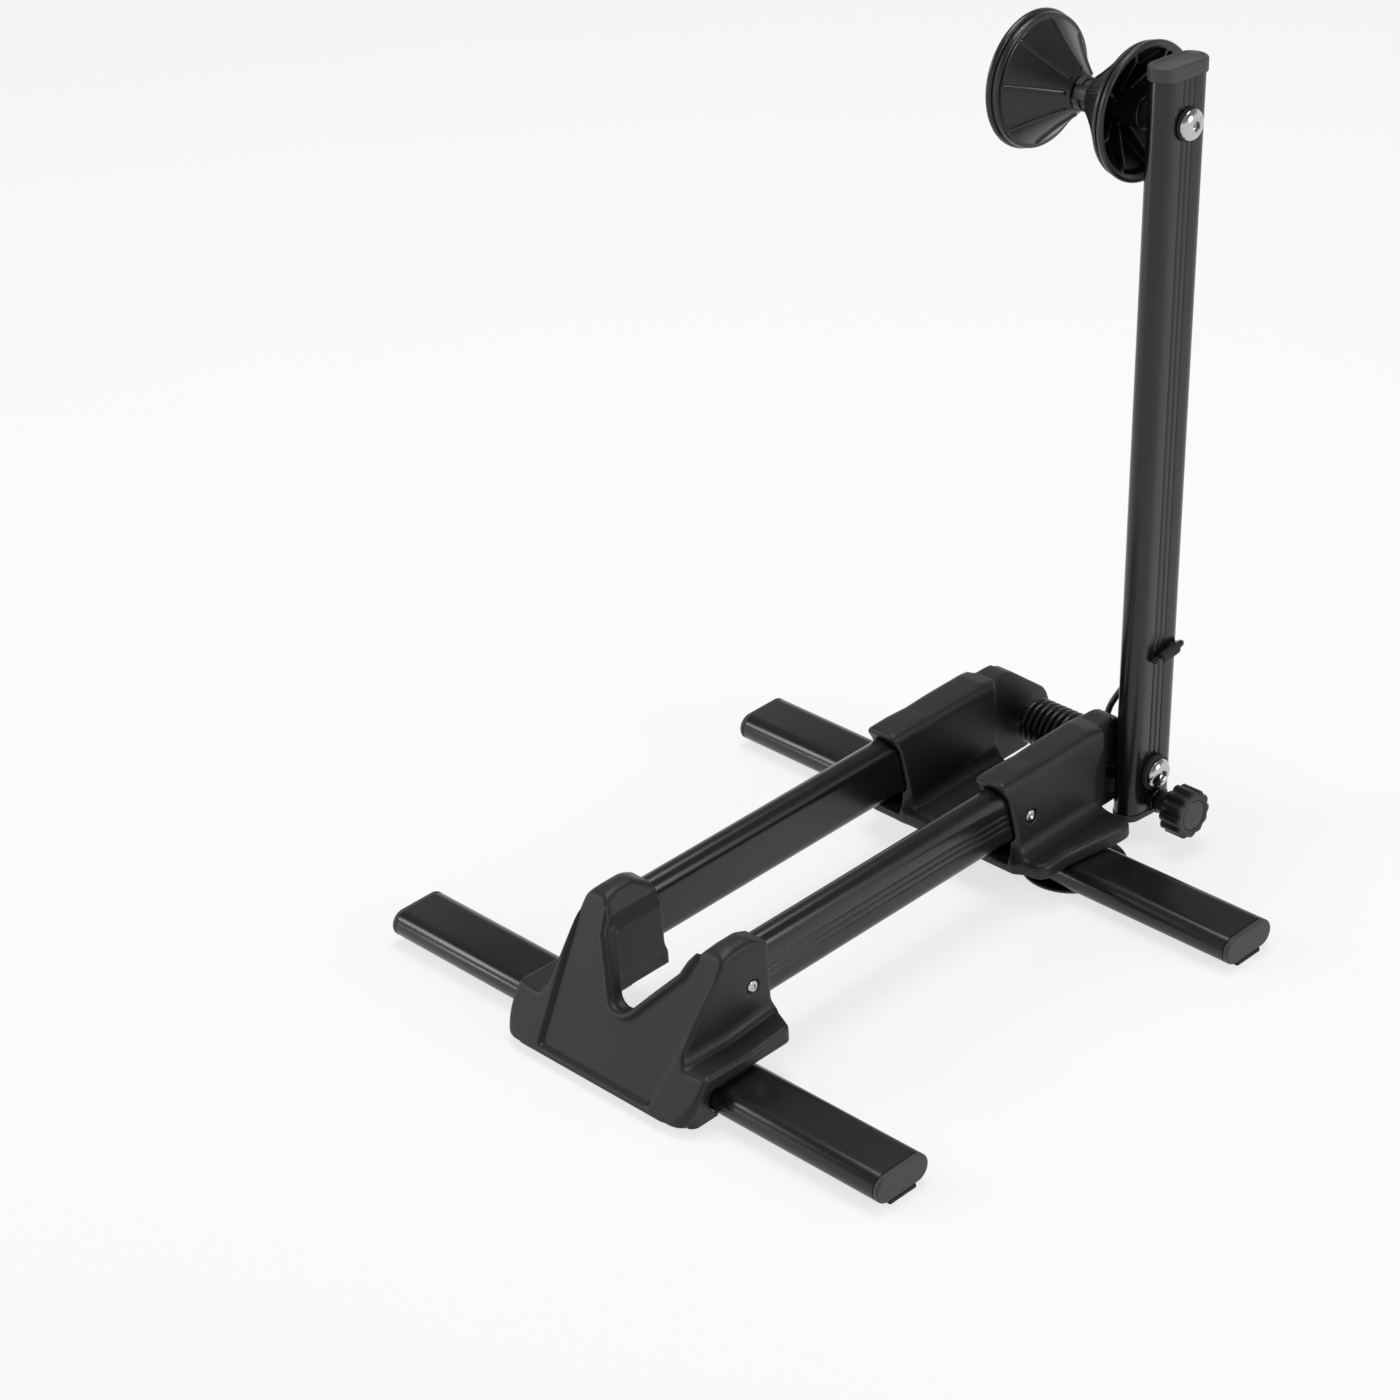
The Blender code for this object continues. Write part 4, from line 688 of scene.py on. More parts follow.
back = KNOB_FACE - KNOB_DEEP
neck = back - NECK_LONG
flare = [(neck + 3.0 + 6.2 * share, 6.4 + 3.1 * share ** 2.2) for share in np.linspace(0.0, 1.0, 9)]
grip = [(back, 10.2), (back, fluted(12.2, 0.9)), (back + 0.3, fluted(13.2)), (back + 1.0, fluted(KNOB_R))]
for a in np.linspace(0.0, np.pi / 2 * 0.9, 7):
    inset = KNOB_EDGE * (1 - math.cos(a))
    grip.append((KNOB_FACE - KNOB_EDGE * (1 - math.sin(a)), fluted(KNOB_R - inset, 1.0 - 0.3 * a)))
well = [(KNOB_FACE, 11.0), (KNOB_FACE, 9.0), (KNOB_FACE - 0.25, 8.65), (KNOB_FACE - 1.6, 8.6)]
profile = [(neck, 5.6), (neck + 0.4, 6.0)] + flare + grip + well
piece("lock_knob", [lifted(spun(profile, 1.0, KNOB_COUNT), KNOB_AT)], MOULDED, on_post, 50.0)
face_disc = [(KNOB_FACE - 1.3, 8.0), (KNOB_FACE - 1.3, 8.3), (KNOB_FACE - 0.25, 8.3), (KNOB_FACE - 0.05, 8.1),
             (KNOB_FACE, 7.8), (KNOB_FACE, 4.0)]
piece("lock_knob_cap", [lifted(spun(face_disc), KNOB_AT)], CAP, on_post)
face = POST_OUT + SEAT
nut = [(face, hexagon(10.0)), (face + 2.9, hexagon(10.0)), (face + 2.9, hexagon(13.4)),
       (face + 3.2, hexagon(14.0, 0.05)), (face + 4.9, hexagon(14.0, 0.05)),
       (face + 5.2, hexagon(13.4, 0.3)), (face + 5.2, 3.4), (face + 1.0, 3.3)]
piece("lock_collar", [lifted(spun(nut), KNOB_AT)], BLACK_STEEL, on_post)
STUD_LOW, STUD_HIGH, STUD_TIP = 39.8, 82.0, 2.4
CREST, ROOT = 2.96, 2.72
along = np.arange(STUD_LOW, STUD_HIGH, 0.25)
thread = [(x, CREST if k % 4 in (0, 1) else ROOT) for k, x in enumerate(along)]
stud = spun([(STUD_LOW, STUD_TIP)] + thread + [(STUD_HIGH, STUD_TIP)], 1.0, 36)
piece("lock_stud", [lifted(stud, KNOB_AT)], ZINC, on_post, 60.0)
print("knob of", KNOB_COUNT, "points round")

# %% [markdown]
# ## Rail screws
#
# A small stainless screw in a recess of each moulding holds the rail's end. It is the same bolt, smaller.

# %% Rail screws
SCREWS = {"cradle_screw": (29.7, 47.8), "housing_screw": (237.5, 46.6)}
SCREW_FLOOR, SCREW_BACK, RECESS_BORE, SCREW_BORE = 48.2, 44.0, 4.0, 2.2
for word, side in SIDES.items():
    for name, (y, z) in SCREWS.items():
        part = bolt(SCREW_FLOOR + SEAT, *RAIL_SCREW, side)
        piece(f"{name}_{word}", [(part[0] + [0.0, y, z], *part[1:])], STAINLESS)
print("rail screws made")

# %% [markdown]
# ## Torsion spring
#
# Twelve close turns and a third of round wire sit on the shaft between the lugs. One end goes to the left
# lug. The other climbs beside the post, wraps round its back and hooks into a hole in its face, in a rubber
# sleeve. The wire is a circle carried along the route. At each point of the route the circle stands square
# to it, between the route's own direction and a fixed one, so the tube can't twist.

# %% Spring
COIL_R, WIRE_R, PITCH, FIRST_X, TIP_X = 11.7, 1.8, 4.1, -23.7, -29.7
TURNS, TURN_STEPS = 12, 48
HOLE_Y, HOLE_Z, BEND = -6.2, 69.5, 2.4
SLEEVE_R, SLEEVE_BORE, SLEEVE_LONG = 3.2, 2.1, 13.0


def curve_through(points, steps):
    """Catmull-Rom curve: each stretch is a cubic that leaves a point along its neighbours' line."""
    p = np.vstack([2 * points[0] - points[1], points, 2 * points[-1] - points[-2]])
    t = (np.arange(steps) / steps)[None, :, None]
    a, b, c, d = (p[k:len(p) - 3 + k][:, None] for k in range(4))
    bend, twist = 2 * a - 5 * b + 4 * c - d, 3 * b - a - 3 * c + d
    made = 0.5 * (2 * b + (c - a) * t + bend * t ** 2 + twist * t ** 3)
    return np.vstack([made.reshape(-1, 3), points[-1:]])


def quarter_turn(start, along, toward, radius, steps=8):
    """Quarter circle from one direction to a square one, without its first point."""
    t = np.linspace(0.0, np.pi / 2, steps + 1)[1:, None]
    return start + np.array(along) * radius * np.sin(t) + np.array(toward) * radius * (1 - np.cos(t))


def wire_route():
    """Points along the wire: tang, coils, climb, wrap round the post, run to the hole and the hook in it."""
    def coil(turns):
        t = np.radians(270.0) - 2 * np.pi * np.asarray(turns)
        return np.stack([FIRST_X + PITCH * np.asarray(turns), COIL_R * np.cos(t), COIL_R * np.sin(t)], -1)

    left = (-1.0, 0.0, 0.0)
    tang = quarter_turn(coil(0.0), (0.0, 1.0, 0.0), left, BEND)
    tip = np.array([[TIP_X, *tang[-1, 1:]]])
    coils = coil(np.arange(TURNS * TURN_STEPS + TURN_STEPS // 3 + 1) / TURN_STEPS)
    away = np.array([0.0, 0.5, math.sqrt(0.75)])
    # The climb, as how far the leg has run straight off the coil and how far it has moved outwards.
    climb = np.array([coils[-1] + away * run + (out, 0.0, 0.0)
                      for run, out in ((0.0, 0.0), (9.0, 0.2), (18.0, 0.5), (27.0, 0.9), (45.0, 7.0))])
    # Five points round the back of the post, each a little higher and further out than the last.
    angles, k = np.radians((145.0, 115.0, 85.0, 55.0, 25.0)), np.arange(5)
    reach = TUBE_THICK / 2 + WIRE_R + 0.7 + 0.2 * k
    rise = HOLE_Z - 9.0 + 3.0 * k
    wrap = np.stack([POST_X + reach * np.cos(angles), FLAT + reach * np.sin(angles), rise], -1)
    outer = POST_OUT + WIRE_R + 1.7
    run_in = np.array([[outer, FLAT + 1.0, HOLE_Z + 3.0]])
    leg = curve_through(np.vstack([climb, wrap, run_in]), 8)
    start = np.array([outer, HOLE_Y + BEND, HOLE_Z])
    hook = quarter_turn(start, (0.0, -1.0, 0.0), left, BEND)
    stop = np.array([[POST_OUT - 1.7, *hook[-1, 1:]]])
    return np.vstack([tip, tang[::-1], coils[:-1], leg, start[None], hook, stop]), run_in[0], start


def carried(route, radius, count=20):
    """Rings of a circle along a route, each square to it, with rounded ends."""
    ahead = np.gradient(route, axis=0)
    ahead /= np.linalg.norm(ahead, axis=1, keepdims=True)
    hint = np.array([0.31, 0.53, 0.79])
    side_way = np.cross(ahead, hint)
    side_way /= np.linalg.norm(side_way, axis=1, keepdims=True)
    up = np.cross(side_way, ahead)
    t = np.arange(count) * 2 * np.pi / count
    size = np.full(len(route), radius)
    size[[0, -1]] = radius * 0.75
    ring = np.cos(t)[None, :, None] * side_way[:, None] + np.sin(t)[None, :, None] * up[:, None]
    return route[:, None] + ring * size[:, None, None]


route, sleeve_top, sleeve_foot = wire_route()
piece("torsion_spring", [skin(carried(route, WIRE_R))], BLACK_STEEL, on_post, 60.0)
run = sleeve_top - sleeve_foot
share = 1.0 - 1.0 / np.linalg.norm(run)
start_share = share - SLEEVE_LONG / np.linalg.norm(run)
line = sleeve_foot + run * np.linspace(start_share, share, 24)[:, None]
outside, inside = carried(line, SLEEVE_R, 40), carried(line, SLEEVE_BORE, 40)
for k, grow in ((0, 0.98), (1, 0.94), (-1, 0.98), (-2, 0.94)):
    outside[k] = line[k] + (outside[k] - line[k]) * grow
piece("spring_sleeve", [skin(np.concatenate([outside, inside[::-1]]), True)], RUBBER, on_post)
print(f"wire {np.linalg.norm(np.diff(route, axis=0), axis=1).sum():.0f} mm long")

# %% [markdown]
# ## Mouldings as distance fields
#
# A moulded part has soft blends between all of its walls, which rings of points can't give. Such a part is
# written as a formula instead: for every place in a box of small cells, how far it is from the surface,
# negative inside. Two shapes are joined or crossed by rules on their two distances, and a rule with a radius
# leaves a fillet or a rounded edge of just that radius. The surface is then drawn where the distance is zero.

# %% Distance helpers
def outline_distance(outline, u, v):
    """Distance from every (u, v) place to a closed outline, negative inside.

    For each edge, the nearest point is the place dropped square on to it, kept between its two ends. A place
    is inside when a line from it crosses the outline an odd number of times."""
    start = np.asarray(outline, np.float32)
    run = np.roll(start, -1, axis=0) - start
    pu, pv = np.asarray(u, np.float32)[:, None, None], np.asarray(v, np.float32)[None, :, None]
    du, dv = pu - start[:, 0], pv - start[:, 1]
    t = np.clip((du * run[:, 0] + dv * run[:, 1]) / np.maximum((run ** 2).sum(1), 1e-9), 0.0, 1.0)
    far = np.hypot(du - t * run[:, 0], dv - t * run[:, 1]).min(-1)
    end = start + run
    with np.errstate(divide="ignore", invalid="ignore"):
        cross = start[:, 0] + dv * run[:, 0] / run[:, 1]
    hits = ((start[:, 1] > pv) != (end[:, 1] > pv)) & (pu < cross)
    return np.where(hits.sum(-1) % 2 == 1, -far, far)


def both(a, b, r=0.0):
    """Inside both shapes. Where their faces meet, the edge is rounded by r."""
    if r == 0.0:
        return np.maximum(a, b)
    return np.minimum(-r, np.maximum(a, b)) + np.hypot(np.maximum(a + r, 0.0), np.maximum(b + r, 0.0))


def joined(a, b, r=0.0):
    """Inside either shape, with a fillet of radius r where they meet."""
    if r == 0.0:
        return np.minimum(a, b)
    return np.maximum(r, np.minimum(a, b)) - np.hypot(np.maximum(r - a, 0.0), np.maximum(r - b, 0.0))


def less(a, b, r=0.0):
    """The first shape without the second, its new edges rounded by r."""
    return both(a, -b, r)


def cells(low, high, step):
    """The three rows of places that a field is worked out on, ready to broadcast against each other."""
    rows = [np.arange(a, b + step, step, dtype=np.float32) for a, b in zip(low, high)]
    return rows, (rows[0][:, None, None], rows[1][None, :, None], rows[2][None, None, :])


def surface(field, low, step):
    """Points, faces and unrolled places where the field is zero."""
    grid = openvdb.FloatGrid()
    grid.copyFromArray(np.ascontiguousarray(field, np.float32))
    points, triangles, quads = grid.convertToPolygons(isovalue=0.0, adaptivity=0.0)
    points = points.astype(float) * step + np.asarray(low, float)
    faces = triangles.tolist() + quads.tolist()
    corners = np.concatenate([triangles.ravel(), quads.ravel()]).astype(int)
    return points, faces, points[corners][:, :2] * MM


def arc(centre, radius, start, end, steps=10):
    """Points on a circle from one angle to another, in degrees."""
    t = np.radians(np.linspace(start, end, steps + 1))
    return [(centre[0] + radius * math.cos(a), centre[1] + radius * math.sin(a)) for a in t]


def rounded(corners, steps=8):
    """Closed outline through (a, b, radius) corners, each worked into an arc."""
    points = []
    for k, (a, b, radius) in enumerate(corners):
        if radius == 0:
            points.append((a, b))
            continue
        here = Vector((a, b))
        before = (Vector(corners[k - 1][:2]) - here).normalized()
        after = (Vector(corners[(k + 1) % len(corners)][:2]) - here).normalized()
        half = before.angle(after) / 2
        middle = here + (before + after).normalized() * (radius / math.sin(half))
        start = here + before * (radius / math.tan(half)) - middle
        sweep = start.angle_signed(here + after * (radius / math.tan(half)) - middle)
        for t in -sweep * np.linspace(0.0, 1.0, steps + 1):
            points.append((middle.x + start.x * math.cos(t) - start.y * math.sin(t),
                           middle.y + start.x * math.sin(t) + start.y * math.cos(t)))
    return points


def moulding(draw, step, finish, places):
    """Works out one field, and makes a piece of it at each of the named places."""
    field, low = draw(step)
    part = surface(field, low, step)
    for node, place in places.items():
        made = piece(node, [part], finish, place, 180.0)
        print(node, "has", sum(len(p.vertices) - 2 for p in made.data.polygons), "triangles")


SLOPE = math.radians(36.0)
CRADLE_FRONT, CRADLE_LIP = -40.0, 5.0
TOWER_IN, TOWER_OUT = 27.8, 50.0
FOOT_ROOM, PIN_TOP = 0.4, 23.5
ABOVE_FOOT = FOOT_Z + TUBE_THICK / 2 + FOOT_ROOM
PAST = -60.0  # where an outline ends that runs on past the middle plane or past the part's front


def slope_y(z, setback=0.0):
    """Where the cradle's sloping front stands at height z, set back square to itself."""
    return CRADLE_FRONT + (z - CRADLE_LIP) * math.tan(SLOPE) + setback / math.cos(SLOPE)


def rail_socket(x, z):
    """Distance, seen from the front, to the hole that a rail's end goes into."""
    return np.hypot(x - RAIL_X, np.maximum(np.abs(z - RAIL_Z) - FLAT, 0.0)) - TUBE_THICK / 2 - SEAT


def drilled(body, ax, y, z, screw):
    """The body with a recess for a screw's head and a hole for its shank, on both sides."""
    off = np.hypot(y - SCREWS[screw][0], z - SCREWS[screw][1])
    body = less(body, both(off - RECESS_BORE, SCREW_FLOOR - ax), 0.5)
    return less(body, both(off - SCREW_BORE, SCREW_BACK - ax))


def pin_hole(x, y, z):
    """Blind hole for a foot's pin, which stands at FOOT_X and at Y = 0."""
    return both(np.hypot(x - FOOT_X, y) - (PIN_R + SEAT), z - PIN_TOP)


print("field helpers ready")

# %% [markdown]
# ## Roller
#
# Two hollow cones stand on the axle with their narrow ends together. Each has a double band round its rim,
# thin ribs that show as low lines on the closed side and stand free on the open side, and a hub. The cone is
# round, so its distance is worked out once in a plane through the axle and looked up for every cell. The
# ribs repeat eight times, so every cell is first turned to the nearest one. The whole roller sits a little
# left of the middle, and each cone is turned by its own angle, as they stand in the photograph.

# %% Roller
CONE_STEP, RADII_FROM, RADII_TO, RADII_STEP = 0.54, -1.0, 52.0, 0.25
LIP_X, LIP_R, WAIST_X, WAIST_R, CONE_WALL, HUB_R = 38.5, 36.6, 4.7, 9.6, 2.2, 9.2
RIB_PITCH, RIB_HALF = math.radians(45.0), 0.85
FIRST_RIB = {"left": math.radians(37.0), "right": math.radians(16.0)}


def looked_up(plane, radius):
    """Reads a plane of distances, one row for each place along X, at a radius between its columns."""
    place = np.clip((radius - RADII_FROM) / RADII_STEP, 0, plane.shape[1] - 1.001)
    column = place.astype(int)
    part = place - column
    row = np.arange(plane.shape[0])[:, None, None]
    return plane[row, column] * (1 - part) + plane[row, column + 1] * part


def cone_field(step):
    """Shell, hub and ribs of one cone, its narrow end towards X = 0."""
    low, high = (WAIST_X - 1.5, -38.0, -38.0), (LIP_X + 1.5, 38.0, 38.0)
    (xs, _, _), (x, y, z) = cells(low, high, step)
    radius, angle = np.hypot(y, z), np.arctan2(z, y)
    radii = np.arange(RADII_FROM, RADII_TO, RADII_STEP)
    rim_x = LIP_X - 7.8
    rise = np.array([rim_x - WAIST_X, LIP_R - 4.0 - WAIST_R])
    inward = np.array([rise[1], -rise[0]]) / np.linalg.norm(rise)

    def along(share, off=0.0):
        share = np.asarray(share, float)
        bow = WAIST_R + rise[1] * (0.82 * share + 0.18 * share ** 2)
        return np.stack([WAIST_X + rise[0] * share + inward[0] * off, bow + inward[1] * off], -1).tolist()

    band = [(rim_x + 0.3, LIP_R - 1.9), (rim_x + 1.0, LIP_R - 1.4), (rim_x + 2.9, LIP_R - 1.1),
            (rim_x + 3.2, LIP_R - 2.4), (rim_x + 4.2, LIP_R - 2.3), (rim_x + 4.5, LIP_R - 0.5),
            (LIP_X - 1.6, LIP_R), (LIP_X - 0.5, LIP_R - 0.2), (LIP_X, LIP_R - 0.8), (LIP_X, LIP_R - 2.2),
            (LIP_X - 2.0, LIP_R - 4.4)]
    inner = along(np.linspace(1.0, 0.25, 12), CONE_WALL)
    hub = [(inner[-1][0], HUB_R), (LIP_X + 0.3, HUB_R), (LIP_X + 0.3, SHAFT_BORE)]
    shell = [(WAIST_X, SHAFT_BORE)] + along(np.linspace(0.0, 1.0, 16)) + band + inner + hub
    body = looked_up(outline_distance(shell, xs, radii), radius)
    turn = (angle + RIB_PITCH / 2) % RIB_PITCH - RIB_PITCH / 2
    blade = along(np.linspace(0.1, 0.97, 12), -1.2)
    blade += [(rim_x + 2.0, LIP_R - 3.6), (LIP_X - 2.2, LIP_R - 3.4), (LIP_X - 2.2, LIP_R - 8.0),
              (LIP_X - 15.0, HUB_R), (LIP_X - 16.0, 7.0), (WAIST_X + 3.0, 7.0)]
    rib = looked_up(outline_distance(blade, xs, radii), radius * np.cos(turn))
    rib = both(rib, np.abs(radius * np.sin(turn)) - RIB_HALF, 0.25)
    return joined(body, rib, 0.5), low


def on_roller(side, first):
    """Places a cone's points: mirrored for the left, turned about the axle, then set on the post."""
    c, s = math.cos(first), math.sin(first)

    def place(points):
        x, y, z = np.moveaxis(np.asarray(points, float), -1, 0)
        return on_post(np.stack([side * x + ROLLER_X, y * c - z * s, y * s + z * c + ROLLER_AT], -1))
    return place


moulding(cone_field, CONE_STEP, GLOSSY,
         {f"roller_cone_{word}": on_roller(side, FIRST_RIB[word]) for word, side in SIDES.items()})
part = ring_part(SHAFT_BORE, 8.0, ROLLER_X + LIP_X + 0.6, POST_IN - SEAT)
piece("roller_spacer", [lifted(part, ROLLER_AT)], MOULDED, on_post)
SLEEVE_COUNT, JAW_LOW, JAW_HIGH = 96, 8.3, 9.2
tooth = (JAW_HIGH - JAW_LOW) * (np.sin(np.arange(SLEEVE_COUNT) * np.pi / 12) > 0.0)
left_jaw, right_jaw = JAW_LOW + tooth, JAW_HIGH - tooth
profile = [(-4.4, SHAFT_BORE + 0.3), (-4.4, left_jaw - 0.2), (-4.2, left_jaw), (-0.2, left_jaw),
           (0.2, right_jaw), (4.2, right_jaw), (4.4, right_jaw - 0.2), (4.4, SHAFT_BORE + 0.3),
           (4.1, SHAFT_BORE), (-4.1, SHAFT_BORE)]
sleeve = spun(profile, 1.0, SLEEVE_COUNT, True)
piece("roller_sleeve", [sleeve], MOULDED, lambda p: on_post(p + [ROLLER_X, 0.0, ROLLER_AT]))

# %% [markdown]
# ## Front cradle
#
# The cradle is the front end of the stand. Two towers hold the rails' ends, a wall with a round notch stands
# between them, and a skirt flares out over the feet. Its front is one sloping plane, with a shallow panel set
# into it and a soft bead round the notch. Each of these is one distance, and the blends are given where they
# meet: wide in the valley between tower and skirt, small along the outer edges.

# %% Cradle
CRADLE_STEP, CRADLE_BACK, CRADLE_TOP, CRADLE_SIDE, CRADLE_WALL = 0.8, 43.0, 75.5, 68.0, 3.0
CRADLE_FLOOR, OPEN_BELOW, BAY_SETBACK, NOTCH_Z, NOTCH_R = 4.5, 20.2, 9.0, 46.4, 12.2
PANEL_HALF, PANEL_FLARE, PANEL_FOOT, PANEL_DEEP, SLOT_DEEP, SLOT_HIGH = 39.5, 11.0, 8.0, 2.0, 2.4, 1.3


def cradle_field(step):
    """The cradle, worked out on its right half's sizes with the distance from the middle plane."""
    low, high = (-70.5, -45.0, 2.0), (70.5, 45.5, 78.0)
    (xs, ys, zs), (x, y, z) = cells(low, high, step)
    ax, half = np.abs(x), np.abs(xs)
    slope = (slope_y(z) - y) * math.cos(SLOPE)

    # Towers and the wall with its notch, seen from the front and from the side.
    front = rounded([(PAST, 0.0, 0), (TOWER_OUT, 0.0, 0), (TOWER_OUT, CRADLE_TOP, 8.0),
                     (37.0, CRADLE_TOP, 5.0), (30.5, 66.0, 3.0), (28.5, 60.0, 4.0), (18.4, 48.9, 0)])
    front += arc((0.0, NOTCH_Z), NOTCH_R, -37.0, -90.0) + [(PAST, NOTCH_Z - NOTCH_R)]
    front = outline_distance(front, half, zs)[:, None, :]
    side = rounded([(PAST, 0.0, 0), (CRADLE_BACK, 0.0, 0), (CRADLE_BACK, 68.0, 4.0),
                    (31.0, CRADLE_TOP, 10.0), (20.0, CRADLE_TOP, 6.0), (slope_y(70.0) - 6.0, 70.0, 8.0),
                    (PAST, 60.0, 0)])
    side = outline_distance(side, ys, zs)[None]
    towers = both(both(front, side, 2.5), both(ax - TOWER_OUT, y - CRADLE_BACK, 3.0), 2.0)

    # The skirt, whose top sags a little along its length, then the sloping front and the underside.
    top = np.interp(y, (CRADLE_FRONT, -19.5, 10.0, 36.0, 50.0), (28.8, 28.3, 27.4, 29.7, 29.9))
    top = top.astype(np.float32)
    plan = rounded([(PAST, CRADLE_FRONT, 0), (CRADLE_SIDE, CRADLE_FRONT, 14.0), (CRADLE_SIDE, 35.5, 5.0),
                    (51.5, CRADLE_BACK, 4.0), (PAST, CRADLE_BACK, 0)])
    plan = outline_distance(plan, half, ys)[:, :, None]
    skirt = both(plan, z - top + np.clip((CRADLE_SIDE - 2.0 - ax) * 0.06, 0.0, 1.0), 2.0)
    body = both(joined(towers, skirt, 7.0), slope, 2.2)
    body = both(body, CRADLE_FLOOR - z, 1.2)
    body = less(body, both(z - OPEN_BELOW, slope_y(z, CRADLE_WALL) + 1.4 - y, 3.0), 0.8)

    # The bay between the towers, and the hollow under the skirt and in the towers.
    body = less(body, both(ax - TOWER_IN, slope + BAY_SETBACK, 1.5), 1.2)
    near, far, out = CRADLE_FRONT + CRADLE_WALL, CRADLE_BACK - CRADLE_WALL, CRADLE_SIDE - CRADLE_WALL
    inner = rounded([(PAST, near, 0), (out, near, 11.0), (out, 34.0, 3.0), (50.0, far, 3.0), (PAST, far, 0)])
    inner = outline_distance(inner, half, ys)[:, :, None]
    room = both(inner, joined(z - 24.0, both(ax - 46.0, z - 29.0, 1.0), 1.0), 1.0)
    room = both(both(room, slope + 5.5, 1.0), y - CRADLE_BACK)
    room = less(room, both(TOWER_IN - ax, ax - 29.6))
    body = less(body, room, 0.6)
    body = less(body, both(rail_socket(ax, z), RAIL_ENDS[0] - SEAT - y), 0.6)
    body = drilled(body, ax, y, z, "cradle_screw")

    # The sunken panel with a deeper slot along its foot, and the bead round the notch.
    flare = (z - PANEL_FOOT) * PANEL_FLARE / (CRADLE_TOP - PANEL_FOOT)
    edge = (ax - PANEL_HALF - flare) * 0.987
    body = less(body, both(both(edge, PANEL_FOOT - z, 1.5), -PANEL_DEEP - slope), 1.6)
    slot = both(edge - 0.4, both(PANEL_FOOT - z, z - (PANEL_FOOT + SLOT_HIGH)))
    body = less(body, both(slot, -SLOT_DEEP - slope))
    bead = np.hypot(front, slope + 1.3) - 1.7
    body = joined(body, both(bead, both(ax - 33.0, 32.0 - z), 1.5), 1.5)
    return body, low


moulding(cradle_field, CRADLE_STEP, MOULDED, {"front_cradle": on_stand})

# %% [markdown]
# ## Foot blocks
#
# Under the cradle, a glossy block on each side hugs the front of the foot and holds its pivot. Seen from the
# side it is an outline with the foot's round edge cut out of it, and that outline is limited from the front
# and from above.

# %% Foot blocks
BLOCK_STEP, BLOCK_IN, BLOCK_OUT, BLOCK_FRONT, BLOCK_TOP, BLOCK_GAP = 0.45, 30.0, 64.5, -31.7, 28.7, 0.6


def block_field(step):
    """The right block: its side view, crossed with its front view and with its rounded corner from above."""
    low, high = (28.5, -36.0, -0.6), (66.0, 21.5, 30.0)
    (xs, ys, zs), (x, y, z) = cells(low, high, step)
    foot, head = (slope_y(height, CRADLE_WALL) + BLOCK_GAP for height in (CRADLE_LIP, BLOCK_TOP))
    knee = CRADLE_LIP + (BLOCK_FRONT - foot) / math.tan(SLOPE)
    outline = [(BLOCK_FRONT + 1.0, 0.4), (BLOCK_FRONT, 1.4), (BLOCK_FRONT, knee), (head, BLOCK_TOP),
               (20.0, BLOCK_TOP), (20.0, ABOVE_FOOT)]
    outline += arc((-FLAT, FOOT_Z), TUBE_THICK / 2 + FOOT_ROOM, 90.0, 250.0, 20) + [(-FLAT - 3.0, 0.4)]
    shape = outline_distance(outline, ys, zs)[None]
    shape = both(shape, both(BLOCK_IN - x, x - BLOCK_OUT), 0.7)
    shape = both(shape, joined(z - 23.7, both(x - 44.2, z - BLOCK_TOP), 0.5), 0.5)
    nose = rounded([(0.0, BLOCK_FRONT, 0), (BLOCK_OUT, BLOCK_FRONT, 6.0), (BLOCK_OUT, 60.0, 0),
                    (0.0, 60.0, 0)])
    shape = both(shape, outline_distance(nose, xs, ys)[:, :, None], 0.3)
    round_end = np.hypot(x - FOOT_X, y) - (TUBE_WIDTH / 2 + FOOT_ROOM)
    shape = less(shape, both(round_end, both(1.9 - z, z - ABOVE_FOOT)))
    return less(shape, pin_hole(x, y, z)), low


moulding(block_field, BLOCK_STEP, GLOSSY,
         {f"foot_block_{word}": lambda p, s=side: on_stand(p * [s, 1.0, 1.0])
          for word, side in SIDES.items()})

# %% [markdown]
# ## Rear housing
#
# The housing joins the rails' rear ends. Two towers stand on one bridge, a skirt flares out over the rear
# feet with a rolled lip, and two lugs carry the shaft. A round recess lets the post swing, and its edge is
# broadly rounded. Beside the shaft an arc is cut through the right lug's face for the lock stud.

# %% Housing
HOUSING_STEP, HOUSING_FRONT, HOUSING_REAR, HOUSING_TOP, BRIDGE_TOP = 0.82, 223.3, 296.0, 74.5, 22.2
LUG_IN, LUG_R, RECESS_R = 30.0, 19.0, 33.4
LANE_R, LANE_HALF, LANE_MIDDLE, LANE_SWEEP = 16.0, 3.6, -125.0, 69.0


